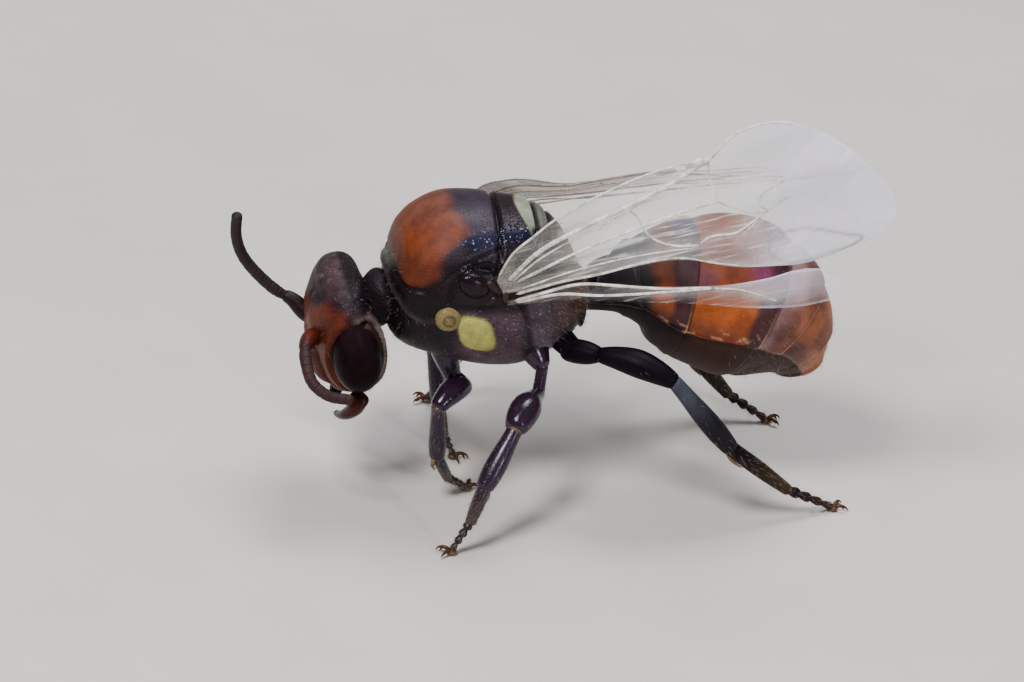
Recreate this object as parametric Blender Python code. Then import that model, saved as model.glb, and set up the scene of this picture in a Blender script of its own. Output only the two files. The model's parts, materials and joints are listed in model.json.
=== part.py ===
"""A masked bee as a still, life-size museum model, standing on its six feet.

The bee looks along -X, its left side is -Y and up is +Z. All sizes are in millimetres
and are turned into metres by MM. The floor is z = 0.
"""

import math

import bmesh
import bpy
from mathutils import Matrix, Vector

MM = 0.001

# Driving sizes, in millimetres
BEE_X = -1.61
BEE_Y = -0.49
GAP = 0.25
FEELER_RADIUS = 0.23
STALK_SHARE = 0.28
FEELER_RING = 0.05
WING_THICKNESS = 0.46
# Share of a wing's thickness left at its margin and at its tip, and where the thinning starts
WING_MARGIN = 0.65
WING_TIP = 0.45
WING_THINNING_FROM = 0.75
# The slow wave of a wing's surface: its height and its rates along and across the wing
WING_WAVE = 0.05
WING_WAVE_RATES = (1.1, 0.9)
VEIN_RISE = 0.09
VEIN_HALF_WIDTH = 0.07
PAD_HALF = (0.15, 0.15, 0.08)
PAD_HEIGHT = 0.05
CLAW_RADII = (0.09, 0.075, 0.03)
# Claw path from the toe: forward, sideways, up
CLAW_PATH = ((-0.05, 0.0, 0.05), (0.14, 0.12, 0.06), (0.26, 0.16, -0.02))

# How squarely the sections of chest and head are rounded, and how high the chest is widest
THORAX_ROUNDNESS = 0.9
HEAD_ROUNDNESS = 0.83
WIDEST_HEIGHT = 0.45

# How finely the bodies are drawn
THORAX_SIDES = 32
THORAX_STEPS = 22
ABDOMEN_STEPS = 20
HEAD_STEPS = 16
ABDOMEN_SIDES = 28
HEAD_SIDES = 28
LIMB_SIDES = 10
WING_STATIONS = 22
WING_CHORD_STEPS = 6
SMOOTH_ANGLE = math.radians(40)

LEFT = -1
RIGHT = 1

# Thorax stations: distance behind the middle, top, bottom, half width
THORAX_STATIONS = [
    (-1.36, 4.20, 3.45, 0.42),
    (-1.30, 4.72, 3.12, 0.86),
    (-1.05, 5.22, 2.90, 1.14),
    (-0.55, 5.50, 2.72, 1.33),
    (0.00, 5.56, 2.58, 1.40),
    (0.55, 5.50, 2.50, 1.38),
    (1.05, 5.42, 2.52, 1.27),
    (1.45, 5.20, 2.68, 1.10),
    (1.80, 4.78, 2.92, 0.86),
    (2.06, 4.24, 3.16, 0.56),
    (2.20, 3.86, 3.36, 0.30),
]
THORAX_SEAMS = [
    # place along the body, depth, half length, lowest angle that it reaches in degrees
    (-1.02, 0.07, 0.05, -70),
    (0.43, 0.10, 0.06, 35),
    (1.14, 0.09, 0.05, 30),
    (1.42, 0.07, 0.05, 20),
]

# Abdomen stations along its curved middle: distance behind the thorax middle, height, radius
ABDOMEN_STATIONS = [
    (2.50, 3.58, 0.24),
    (2.72, 3.70, 0.50),
    (3.10, 3.84, 0.86),
    (3.60, 3.84, 1.17),
    (4.10, 3.77, 1.36),
    (4.60, 3.69, 1.46),
    (5.02, 3.57, 1.46),
    (5.40, 3.39, 1.34),
    (5.74, 3.10, 1.11),
    (5.99, 2.76, 0.83),
    (6.15, 2.43, 0.54),
    (6.24, 2.18, 0.26),
]
# Share of the abdomen's length at which each back plate ends, and how far its rim stands out
PLATE_ENDS = [0.185, 0.32, 0.585, 0.70, 0.84]
PLATE_STEP = 0.075
# The crease between back and belly plates: sine of its angle, half width in sine and depth
SIDE_CREASE = (-0.20, 0.12, 0.05)
BELLY_RISE = 0.35

# Thorax knobs on each side: middle on the right side, half sizes
NECK_LOBE = ((-0.40, 1.22, 3.84), (0.24, 0.17, 0.22))
WING_SCALE = ((0.02, 1.20, 4.62), (0.42, 0.22, 0.20))
SIDE_PATCH = ((0.05, 1.23, 3.50), (0.34, 0.13, 0.26))

# Head middle, and how far the mouth is tucked back
HEAD_AT = (-1.93, 0.0, 3.03)
HEAD_TUCK = math.radians(13)
# Head sections from the mouth up: height, front, back, half width
HEAD_STATIONS = [
    (-1.13, 0.10, 0.12, 0.26),
    (-1.06, 0.34, 0.26, 0.48),
    (-0.85, 0.52, 0.42, 0.72),
    (-0.50, 0.62, 0.53, 0.93),
    (-0.10, 0.66, 0.53, 1.07),
    (0.30, 0.64, 0.40, 1.15),
    (0.65, 0.58, 0.36, 1.14),
    (0.90, 0.46, 0.36, 1.00),
    (1.06, 0.30, 0.28, 0.72),
    (1.13, 0.12, 0.14, 0.34),
]
# Raised parts of the head: middle from the head's middle, half sizes
FACE_SHIELD = ((-0.50, 0.0, -0.50), (0.28, 0.46, 0.46))
BROW = ((-0.52, 0.0, 0.05), (0.20, 0.17, 0.36))
UPPER_LIP = ((-0.30, 0.0, -1.02), (0.20, 0.33, 0.16))
FOLDED_TONGUE = ((0.16, 0.0, -1.00), (0.26, 0.22, 0.26))
SMALL_EYES = (
    ((-0.22, -0.22, 1.0), (0.12, 0.09, 0.13)),
    ((-0.34, 0.0, 1.0), (0.12, 0.09, 0.13)),
    ((-0.22, 0.22, 1.0), (0.12, 0.09, 0.13)),
)
# Eye: middle, half sizes, and how far from the head's middle its flat inner face lies
EYE_AT = (0.0, 0.90, -0.06)
EYE_HALF = (0.42, 0.42, 0.78)
EYE_BACK = 0.93
EYE_NARROWING = 0.16
# Right jaw from its joint to its tip, from the head's middle, and its radius at both ends
JAW_PATH = [
    (-0.06, 0.66, -1.22),
    (-0.22, 0.62, -1.38),
    (-0.38, 0.46, -1.50),
    (-0.46, 0.28, -1.56),
]
JAW_RADII = (0.22, 0.12)

# Feelers from their sockets to their tips
NEAR_ANTENNA = [
    (-2.78, -0.42, 3.00),
    (-2.85, -0.76, 3.06),
    (-2.84, -1.06, 3.04),
    (-2.83, -1.30, 2.90),
    (-2.72, -1.50, 2.66),
    (-2.45, -1.62, 2.50),
    (-2.09, -1.66, 2.45),
]
FAR_ANTENNA = [
    (-2.78, 0.40, 2.98),
    (-2.90, 0.52, 3.10),
    (-3.04, 0.60, 3.24),
    (-3.40, 0.66, 3.56),
    (-3.72, 0.66, 3.90),
    (-3.92, 0.60, 4.36),
    (-3.98, 0.52, 4.90),
]

# Leg joints: root, end of the trochanter, knee, ankle, end of the first foot ring, toe
FORE_LEG = [
    (-0.22, -0.50, 2.36),
    (0.12, -0.66, 2.20),
    (-0.44, -1.20, 2.06),
    (-0.32, -0.98, 0.95),
    (-0.06, -0.78, 0.42),
    (0.36, -0.50, 0.08),
]
FAR_FORE_LEG = [
    (-0.22, 0.50, 2.36),
    (0.12, 0.72, 2.16),
    (-0.16, 1.20, 1.98),
    (0.02, 1.00, 0.95),
    (0.12, 0.86, 0.44),
    (0.30, 0.66, 0.08),
]
MID_LEG = [
    (1.38, -1.04, 2.76),
    (1.32, -1.18, 2.42),
    (0.78, -2.10, 2.12),
    (0.24, -2.60, 1.24),
    (0.04, -2.70, 0.62),
    (-0.26, -2.76, 0.08),
]
FAR_MID_LEG = [
    (1.38, 1.04, 2.76),
    (1.34, 1.20, 2.42),
    (1.02, 2.12, 2.20),
    (0.60, 2.60, 1.24),
    (0.42, 2.68, 0.62),
    (0.14, 2.72, 0.08),
]
HIND_LEG = [
    (1.98, -0.74, 2.84),
    (2.34, -1.06, 3.10),
    (3.60, -1.74, 2.88),
    (4.74, -1.74, 1.56),
    (5.92, -1.44, 0.56),
    (6.84, -1.20, 0.08),
]
FAR_HIND_LEG = [
    (1.98, 0.74, 2.84),
    (2.34, 1.14, 3.14),
    (3.34, 2.00, 3.26),
    (4.78, 2.26, 1.30),
    (5.52, 2.16, 0.50),
    (6.24, 2.00, 0.08),
]
THIGH_RADIUS = {"fore": 0.28, "mid": 0.30, "hind": 0.30}
THIGH_ARCH = 0.10
# Radii along the other stretches of a leg, from its root outwards
HIP_RADII = [0.25, 0.24, 0.23]
SHIN_RADII = [0.23, 0.25, 0.27, 0.28, 0.25]
HEEL_RADII = [0.22, 0.225, 0.21]
TOE_RADII = [0.19, 0.20, 0.17, 0.18, 0.15, 0.16, 0.13]

# Wing outlines, along the wing from its root and across it, and the wings' place
FOREWING_LEAD = [(0.0, 0.16), (0.55, 0.80), (1.25, 1.22), (2.6, 1.52), (3.8, 1.60), (4.9, 2.00)]
FOREWING_LEAD += [(5.6, 1.94), (6.36, 1.24), (6.78, 0.52), (6.90, -0.1)]
FOREWING_TRAIL = [(0.0, -0.02), (0.95, 0.02), (1.7, 0.05), (2.5, 0.02), (3.25, -0.10), (4.0, -0.34)]
FOREWING_TRAIL += [(4.8, -0.52), (5.5, -0.64), (6.3, -0.56), (6.90, -0.1)]
HINDWING_LEAD = [(0.0, -0.27), (0.95, -0.23), (1.7, -0.20), (2.5, -0.24), (3.25, -0.36)]
HINDWING_LEAD += [(4.0, -0.60), (4.8, -0.79), (5.4, -0.90), (5.72, -1.0), (5.84, -1.16)]
HINDWING_TRAIL = [(0.0, -0.47), (0.9, -0.62), (1.7, -0.72), (2.5, -0.84), (3.25, -1.04)]
HINDWING_TRAIL += [(4.0, -1.28), (4.6, -1.43), (5.2, -1.48), (5.65, -1.38), (5.84, -1.16)]
FOREWING_VEINS = [
    [(0.1, 0.10), (1.0, 0.62), (1.8, 0.93), (2.6, 1.17), (3.3, 1.36), (3.85, 1.46)],
    [(0.1, 0.08), (1.1, 0.38), (1.8, 0.52), (2.45, 0.62), (3.5, 0.80), (3.85, 0.85), (4.6, 0.42)],
    [(2.3, 1.05), (2.45, 0.66), (2.6, 0.42), (2.86, 0.18), (3.3, 0.04)],
    [(3.3, 0.04), (3.9, 0.10), (4.6, 0.42), (5.1, 0.95)],
    [(3.80, 1.48), (3.90, 1.18), (3.85, 0.85)],
    [(3.88, 1.18), (4.6, 1.28), (5.3, 1.45), (5.65, 1.72)],
]
HINDWING_VEINS = [
    [(0.15, -0.37), (1.6, -0.40), (3.2, -0.58), (4.8, -1.0)],
    [(1.6, -0.40), (2.6, -0.62), (3.8, -0.98)],
]
NEAR_WING = {
    "root": (0.42, -1.79, 4.70),
    "angle": math.radians(14.8),
    "lean_root": math.radians(-6),
    "lean_out": math.radians(-9),
}
FAR_WING = {
    "root": (0.50, 1.98, 4.50),
    "angle": math.radians(5.5),
    "lean_root": math.radians(-88),
    "lean_out": math.radians(-112),
}
# Distance from the root over which a wing turns from its root lean to its outer one
WING_TWIST_LENGTH = 2.0

COLOURS = {
    "dark": (0.035, 0.018, 0.030),
    "orange": (0.42, 0.09, 0.02),
    "eye": (0.03, 0.012, 0.01),
    "amber": (0.36, 0.10, 0.02),
    "wing": (0.75, 0.70, 0.58),
}


def clear_scene():
    for thing in list(bpy.data.objects):
        bpy.data.objects.remove(thing, do_unlink=True)


def material(name, colour, roughness):
    """A plain finish in one of the named colours."""
    finish = bpy.data.materials.new(name)
    finish.use_nodes = True
    shader = finish.node_tree.nodes["Principled BSDF"]
    shader.inputs["Base Color"].default_value = (*COLOURS[colour], 1.0)
    shader.inputs["Roughness"].default_value = roughness
    shader.inputs["Metallic"].default_value = 0.0
    return finish


def at_bee(point):
    """A point measured from the thorax middle on the floor, in world metres."""
    return Vector(((point[0] + BEE_X) * MM, (point[1] + BEE_Y) * MM, point[2] * MM))


def make_object(name, work):
    bmesh.ops.remove_doubles(work, verts=work.verts[:], dist=1e-8)
    bmesh.ops.recalc_face_normals(work, faces=work.faces[:])
    mesh = bpy.data.meshes.new(name)
    work.to_mesh(mesh)
    work.free()
    thing = bpy.data.objects.new(name, mesh)
    bpy.context.scene.collection.objects.link(thing)
    return thing


def smooth_value(stations, column, place):
    """A smooth curve through one column of a station list, read at a place along it."""
    last = len(stations) - 1
    index = 0
    while index < last - 1 and stations[index + 1][0] <= place:
        index += 1
    before = stations[max(index - 1, 0)]
    start = stations[index]
    end = stations[index + 1]
    after = stations[min(index + 2, last)]
    share = (place - start[0]) / (end[0] - start[0])
    share = min(max(share, 0.0), 1.0)
    slope_start = (end[column] - before[column]) / (end[0] - before[0])
    slope_end = (after[column] - start[column]) / (after[0] - start[0])
    length = end[0] - start[0]
    square = share * share
    cube = square * share
    return (
        (2 * cube - 3 * square + 1) * start[column]
        + (cube - 2 * square + share) * length * slope_start
        + (3 * square - 2 * cube) * end[column]
        + (cube - square) * length * slope_end
    )


def curve_through(points, steps):
    """Points on a smooth curve through a short list of points of any dimension."""
    found = []
    for index in range(len(points) - 1):
        before = points[max(index - 1, 0)]
        start = points[index]
        end = points[index + 1]
        after = points[min(index + 2, len(points) - 1)]
        for step in range(steps):
            t = step / steps
            spot = []
            for p0, p1, p2, p3 in zip(before, start, end, after):
                spot.append(
                    0.5
                    * (
                        2 * p1
                        + (p2 - p0) * t
                        + (2 * p0 - 5 * p1 + 4 * p2 - p3) * t * t
                        + (3 * p1 - p0 - 3 * p2 + p3) * t * t * t
                    )
                )
            found.append(tuple(spot))
    found.append(tuple(points[-1]))
    return found


def loft(rings):
    """A closed body through rings of world points, by extruding one ring along them."""
    work = bmesh.new()
    made = bmesh.ops.create_circle(work, segments=len(rings[0]), radius=1.0, cap_ends=False)
    first = work.edges[:]
    edges = first
    for vert, spot in zip(made["verts"], rings[0]):
        vert.co = spot
    for spots in rings[1:]:
        grown = bmesh.ops.extrude_edge_only(work, edges=edges)["geom"]
        ring = [part for part in grown if isinstance(part, bmesh.types.BMVert)]
        edges = [
            part
            for part in grown
            if isinstance(part, bmesh.types.BMEdge) and len(part.link_faces) == 1
        ]
        for vert, spot in zip(ring, spots):
            vert.co = spot
    for rim in (first, edges):
        cap = bmesh.ops.contextual_create(work, geom=rim)["faces"]
        bmesh.ops.poke(work, faces=cap)
    bmesh.ops.triangulate(work, faces=work.faces[:])
    return work


def tube_rings(path, radii, sides, flat=1.0):
    """Rings round a path of world points in millimetres, carried along without twist."""
    points = [Vector(spot) for spot in path]
    rings = []
    side = None
    for index, point in enumerate(points):
        ahead = points[min(index + 1, len(points) - 1)]
        behind = points[max(index - 1, 0)]
        along = (ahead - behind).normalized()
        if side is None:
            helper = Vector((0, 0, 1)) if abs(along.z) < 0.8 else Vector((1, 0, 0))
            side = along.cross(helper).normalized()
        side = (side - along * side.dot(along)).normalized()
        up = along.cross(side)
        ring = []
        for step in range(sides):
            angle = 2 * math.pi * step / sides
            reach = side * math.cos(angle) + up * math.sin(angle) * flat
            ring.append(at_bee(point + reach * radii[index]))
        rings.append(ring)
    return rings


def fuse(name, pieces, finish):
    """One closed body from many by a Boolean union, keeping its largest closed surface."""
    others = bpy.data.collections.new(name + "_others")
    bpy.context.scene.collection.children.link(others)
    base = pieces[0]
    for piece in pieces[1:]:
        bpy.context.scene.collection.objects.unlink(piece)
        others.objects.link(piece)
    joined = base.modifiers.new("union", "BOOLEAN")
    joined.operation = "UNION"
    joined.operand_type = "COLLECTION"
    joined.collection = others
    joined.solver = "EXACT"
    apply_modifiers(base)
    for piece in pieces[1:]:
        bpy.data.objects.remove(piece, do_unlink=True)
    bpy.data.collections.remove(others)
    base.name = name
    finish_node(base, finish)
    return base


def carve(base, cutter):
    cut = base.modifiers.new("carve", "BOOLEAN")
    cut.operation = "DIFFERENCE"
    cut.object = cutter
    cut.solver = "EXACT"
    apply_modifiers(base)
    bpy.data.objects.remove(cutter, do_unlink=True)


def apply_modifiers(thing):
    bpy.context.view_layer.update()
    seen = thing.evaluated_get(bpy.context.evaluated_depsgraph_get())
    fresh = bpy.data.meshes.new_from_object(seen)
    thing.modifiers.clear()
    thing.data = fresh


def finish_node(thing, finish):
    """Weld, keep the largest closed surface, triangulate and give the finish."""
    work = bmesh.new()
    work.from_mesh(thing.data)
    bmesh.ops.remove_doubles(work, verts=work.verts[:], dist=2e-6)
    bmesh.ops.dissolve_degenerate(work, edges=work.edges[:], dist=1e-6)
    seen = set()
    shells = []
    for face in work.faces:
        if face in seen:
            continue
        shell = []
        waiting = [face]
        seen.add(face)
        while waiting:
            here = waiting.pop()
            shell.append(here)
            for edge in here.edges:
                for other in edge.link_faces:
                    if other not in seen:
                        seen.add(other)
                        waiting.append(other)
        shells.append(shell)
    shells.sort(key=lambda shell: sum(face.calc_area() for face in shell))
    for shell in shells[:-1]:
        bmesh.ops.delete(work, geom=shell, context="FACES")
    bmesh.ops.triangulate(work, faces=work.faces[:])
    bmesh.ops.recalc_face_normals(work, faces=work.faces[:])
    work.to_mesh(thing.data)
    work.free()
    thing.data.materials.clear()
    thing.data.materials.append(finish)
    thing.data.shade_smooth()
    thing.data.set_sharp_from_angle(angle=SMOOTH_ANGLE)


def power(value, sharpness):
    return math.copysign(abs(value) ** sharpness, value)


def make_thorax(finish):
    """The chest with its collar, shield, shieldlet and rear slope, parted by grooves."""
    first = THORAX_STATIONS[0][0]
    last = THORAX_STATIONS[-1][0]
    places = [first + (last - first) * step / THORAX_STEPS for step in range(THORAX_STEPS + 1)]
    for seam, depth, length, lowest in THORAX_SEAMS:
        places = [place for place in places if abs(place - seam) > length * 1.3]
        places += [seam - length, seam, seam + length]
    places += [first + 0.02, last - 0.04]
    rings = []
    for place in sorted(places):
        top = smooth_value(THORAX_STATIONS, 1, place)
        bottom = smooth_value(THORAX_STATIONS, 2, place)
        half = smooth_value(THORAX_STATIONS, 3, place)
        middle = bottom + (top - bottom) * WIDEST_HEIGHT
        ring = []
        for step in range(THORAX_SIDES):
            angle = 2 * math.pi * step / THORAX_SIDES
            up = math.sin(angle)
            sink = 0.0
            for seam, depth, length, lowest in THORAX_SEAMS:
                if up > math.sin(math.radians(lowest)):
                    sink += depth * max(0.0, 1 - abs(place - seam) / length)
            tall = (top - middle) if up > 0 else (middle - bottom)
            reach = 1 - sink / half
            across = half * power(math.cos(angle), THORAX_ROUNDNESS) * reach
            height = middle + tall * power(up, THORAX_ROUNDNESS) * reach
            ring.append(at_bee((place, across, height)))
        rings.append(ring)
    pieces = [make_object("thorax", loft(rings))]
    for side in (LEFT, RIGHT):
        for centre, half_sizes in (NECK_LOBE, WING_SCALE, SIDE_PATCH):
            pieces.append(knob((centre[0], side * centre[1], centre[2]), half_sizes, at_bee))
    return fuse("thorax", pieces, finish)


def knob(centre, half, place, segments=12, rings=8):
    """A rounded bump; place turns its own millimetres into world metres."""
    work = bmesh.new()
    bmesh.ops.create_uvsphere(work, u_segments=segments, v_segments=rings, radius=1.0)
    for vert in work.verts:
        vert.co = place([centre[axis] + vert.co[axis] * half[axis] for axis in range(3)])
    return make_object("knob", work)


def abdomen_middle(share):
    index = share * (len(ABDOMEN_STATIONS) - 1)
    rows = [(float(number), *row) for number, row in enumerate(ABDOMEN_STATIONS)]
    return [smooth_value(rows, column, index) for column in (1, 2, 3)]


def make_abdomen(finish):
    """The hind body: overlapping back plates as steps, and belly plates below a side crease."""
    crease_at, crease_width, crease_depth = SIDE_CREASE
    shares = [step / ABDOMEN_STEPS for step in range(ABDOMEN_STEPS + 1)]
    for end in PLATE_ENDS:
        shares = [share for share in shares if abs(share - end) > 0.02]
        shares += [end - 0.02, end, end + 0.012]
    rings = []
    for share in sorted(shares):
        x, z, radius = abdomen_middle(share)
        ahead = abdomen_middle(min(share + 0.02, 1.0))
        behind = abdomen_middle(max(share - 0.02, 0.0))
        along = Vector((ahead[0] - behind[0], 0, ahead[1] - behind[1])).normalized()
        up = Vector((0, 1, 0)).cross(along) * -1
        start = max([0.0] + [end for end in PLATE_ENDS if end < share - 1e-6])
        later = [end for end in PLATE_ENDS if end >= share - 1e-6]
        finish_at = later[0] if later else 1.0
        rise = PLATE_STEP * (share - start) / (finish_at - start) if later else 0.0
        ring = []
        for step in range(ABDOMEN_SIDES):
            angle = 2 * math.pi * step / ABDOMEN_SIDES
            high = math.sin(angle)
            back = 1.0 if high > crease_at else BELLY_RISE
            crease = crease_depth if abs(high - crease_at) < crease_width else 0.0
            reach = radius - PLATE_STEP * 0.6 + rise * back - crease * min(1.0, radius)
            spot = Vector((x, 0, z)) + up * high * reach
            spot.y = math.cos(angle) * reach
            ring.append(at_bee(spot))
        rings.append(ring)
    body = make_object("abdomen", loft(rings))
    finish_node(body, finish)
    return body


def head_turn():
    """The head's own place: its middle and its tuck."""
    return Matrix.Translation(Vector(HEAD_AT)) @ Matrix.Rotation(-HEAD_TUCK, 4, "Y")


def head_point(local):
    return at_bee(head_turn() @ Vector(local))


def make_head(finish):
    """The skull with its raised parts, the upper lip over the mouth and sockets for the eyes."""
    low = HEAD_STATIONS[0][0]
    high = HEAD_STATIONS[-1][0]
    rings = []
    for level in range(HEAD_STEPS + 1):
        # closer together towards both ends, where the skull rounds off
        share = 0.5 - 0.5 * math.cos(math.pi * level / HEAD_STEPS)
        height = low + (high - low) * share
        front = smooth_value(HEAD_STATIONS, 1, height)
        back = smooth_value(HEAD_STATIONS, 2, height)
        half = smooth_value(HEAD_STATIONS, 3, height)
        ring = []
        for step in range(HEAD_SIDES):
            angle = 2 * math.pi * step / HEAD_SIDES
            depth = front if math.cos(angle) > 0 else back
            ahead = -depth * power(math.cos(angle), HEAD_ROUNDNESS)
            across = half * power(math.sin(angle), HEAD_ROUNDNESS)
            ring.append(head_point((ahead, across, height)))
        rings.append(ring)
    pieces = [make_object("head", loft(rings))]
    for centre, half_sizes in (FACE_SHIELD, BROW, UPPER_LIP, FOLDED_TONGUE):
        pieces.append(knob(centre, half_sizes, head_point, 14, 9))
    for centre, half_sizes in SMALL_EYES:
        pieces.append(knob(centre, half_sizes, head_point, 8, 6))
    skull = fuse("head", pieces, finish)
    for side in (LEFT, RIGHT):
        carve(skull, eye_cap(side, GAP))
    finish_node(skull, finish)
    return skull


def eye_cap(side, margin):
    """The eye's bulging cap with a flat inner face, grown by a margin all round."""
    work = bmesh.new()
    bmesh.ops.create_uvsphere(work, u_segments=22, v_segments=14, radius=1.0)
    turn = Matrix.Rotation(math.radians(90), 3, "X")
    for vert in work.verts:
        spot = turn @ vert.co
        narrow = 1.0 - EYE_NARROWING * spot.z
        x = EYE_AT[0] + spot.x * (EYE_HALF[0] * narrow + margin)
        y = EYE_AT[1] + spot.y * side * (EYE_HALF[1] + margin)
        z = EYE_AT[2] + spot.z * (EYE_HALF[2] + margin)
        y = max(y, EYE_BACK - margin)
        vert.co = head_point((x, y * side, z))
    return make_object("eye", work)


def make_eye(name, side, finish):
    eye = eye_cap(side, 0.0)
    eye.name = name
    finish_node(eye, finish)
    return eye


def make_mandible(name, side, finish):
    """A curved jaw that starts below the cheek and crosses under the face shield."""
    path = curve_through(JAW_PATH, 3)
    points = [head_turn() @ Vector((x, side * y, z)) for x, y, z in path]
    count = len(points) - 1
    thick, thin = JAW_RADII
    radii = [thick + (thin - thick) * index / count for index in range(count + 1)]
    jaw = make_object(name, loft(tube_rings(points, radii, LIMB_SIDES, 0.8)))
    finish_node(jaw, finish)
    return jaw


def make_antenna(name, path, finish):
    """A stalk, a short joint and a whip of ten rings that end in a rounded tip."""
    points = curve_through(path, 5)
    count = len(points) - 1
    radii = []
    for index in range(count + 1):
        share = index / count
        if share < STALK_SHARE:
            radii.append(FEELER_RADIUS * (0.92 + 0.30 * math.sin(math.pi * share / STALK_SHARE)))
        else:
            ring = FEELER_RING * (1 if index % 2 else -1)
            radii.append(FEELER_RADIUS * (0.90 + ring - 0.15 * share))
    radii[-1] *= 0.55
    feeler = make_object(name, loft(tube_rings(points, radii, LIMB_SIDES)))
    finish_node(feeler, finish)
    return feeler


def make_leg(name, joints, swell, finish):
    """Trochanter, thick thigh, widening shin, ringed foot and two claws over a flat pad."""
    corners = [Vector(joint) for joint in joints]
    heel, toe = corners[-2:]
    thigh = [0.23, swell * 0.92, swell, swell * 0.92, 0.25]
    points = [corners[0]]
    radii = [HIP_RADII[0]]
    for number, widths in enumerate((HIP_RADII, thigh, SHIN_RADII, HEEL_RADII, TOE_RADII)):
        arch = THIGH_ARCH if number == 1 else 0.0
        for index, width in enumerate(widths[1:], start=1):
            share = index / (len(widths) - 1)
            bulge = Vector((0, 0, arch)) * math.sin(math.pi * share)
            points.append(corners[number].lerp(corners[number + 1], share) + bulge)
            radii.append(width)
    leg = make_object(name, loft(tube_rings(points, radii, LIMB_SIDES)))
    away = (toe - heel).normalized()
    away.z = 0
    across = away.cross(Vector((0, 0, 1))).normalized()
    pieces = [leg, knob((toe.x, toe.y, PAD_HEIGHT), PAD_HALF, at_bee, 12, 8)]
    for side in (LEFT, RIGHT):
        claw_path = []
        for forward, aside, rise in CLAW_PATH:
            claw_path.append(toe + away * forward + across * side * aside + Vector((0, 0, rise)))
        pieces.append(make_object("claw", loft(tube_rings(claw_path, CLAW_RADII, 6))))
    body = fuse(name, pieces, finish)
    for vert in body.data.vertices:
        vert.co.z = max(vert.co.z, 0.0)
    finish_node(body, finish)
    return body


def ease(share):
    """0 up to 0, 1 from 1 on, and smooth between."""
    share = min(max(share, 0.0), 1.0)
    return share * share * (3 - 2 * share)


def wing_place(wing, spot, lift):
    """A point of the flat wing, at a height over its middle plane, in world metres."""
    along, across = spot
    share = ease(along / WING_TWIST_LENGTH)
    turn = wing["lean_root"] + (wing["lean_out"] - wing["lean_root"]) * share
    wave = math.sin(WING_WAVE_RATES[0] * along + WING_WAVE_RATES[1] * across)
    local = Vector((along, lift + WING_WAVE * wave * ease(along), across))
    lean = Matrix.Rotation(turn, 3, "X")
    rise = Matrix.Rotation(-wing["angle"], 3, "Y")
    return at_bee(Vector(wing["root"]) + rise @ (lean @ local))


def make_wing(name, wing, lead, trail, veins, finish):
    """A wavy plate between two edges, thinner at margin and tip, with veins raised on both faces."""
    columns = WING_STATIONS - 1
    front = resample(lead, WING_STATIONS)
    rear = resample(trail, WING_STATIONS)
    half = WING_THICKNESS / 2
    work = bmesh.new()
    made = bmesh.ops.create_grid(work, x_segments=columns, y_segments=WING_CHORD_STEPS, size=1.0)
    for vert in made["verts"]:
        column = round((vert.co.x + 1) / 2 * columns)
        row = (vert.co.y + 1) / 2
        a = rear[column]
        b = front[column]
        rim = column == columns or row < 0.01 or row > 0.99
        depth = half * (WING_MARGIN if rim else 1.0)
        vert.co = (a[0] + (b[0] - a[0]) * row, a[1] + (b[1] - a[1]) * row, -depth)
    bmesh.ops.remove_doubles(work, verts=work.verts[:], dist=1e-4)
    bmesh.ops.triangulate(work, faces=work.faces[:])
    grown = bmesh.ops.extrude_face_region(work, geom=work.faces[:], use_keep_orig=True)["geom"]
    for part in grown:
        if isinstance(part, bmesh.types.BMVert):
            part.co.z *= -1
    for vert in work.verts:
        vert.co *= MM
    pieces = [make_object(name, work)]
    for vein in veins:
        pieces.append(vein_bar(vein, half + VEIN_RISE))
    body = fuse(name, pieces, finish)
    reach = lead[-1][0]
    for vert in body.data.vertices:
        along = vert.co.x / MM
        thin = ease((along / reach - WING_THINNING_FROM) / (1 - WING_THINNING_FROM))
        lift = vert.co.z / MM * (1 - (1 - WING_TIP) * thin)
        vert.co = wing_place(wing, (along, vert.co.y / MM), lift)
    finish_node(body, finish)
    return body


def resample(points, count):
    """Evenly spread points on a smooth curve through an outline's points."""
    dense = curve_through(points, 12)
    lengths = [0.0]
    for before, after in zip(dense, dense[1:]):
        lengths.append(lengths[-1] + math.dist(before, after))
    found = []
    index = 0
    for step in range(count):
        want = lengths[-1] * step / (count - 1)
        while index < len(lengths) - 2 and lengths[index + 1] < want:
            index += 1
        share = (want - lengths[index]) / (lengths[index + 1] - lengths[index])
        a = dense[index]
        b = dense[index + 1]
        found.append((a[0] + (b[0] - a[0]) * share, a[1] + (b[1] - a[1]) * share))
    return found


def vein_bar(points, reach):
    """A bar along a vein that stands out of both faces of the plate, with a narrow crest."""
    path = curve_through(points, 3)
    rings = []
    for index, spot in enumerate(path):
        ahead = path[min(index + 1, len(path) - 1)]
        behind = path[max(index - 1, 0)]
        along = Vector((ahead[0] - behind[0], ahead[1] - behind[1])).normalized()
        across = Vector((-along.y, along.x))
        corners = [(-0.45, -1), (0.45, -1), (1, 0), (0.45, 1), (-0.45, 1), (-1, 0)]
        ring = []
        for offset, level in corners:
            flat = Vector(spot) + across * offset * VEIN_HALF_WIDTH
            ring.append(Vector((flat.x, flat.y, level * reach)) * MM)
        rings.append(ring)
    return make_object("vein", loft(rings))


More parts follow.
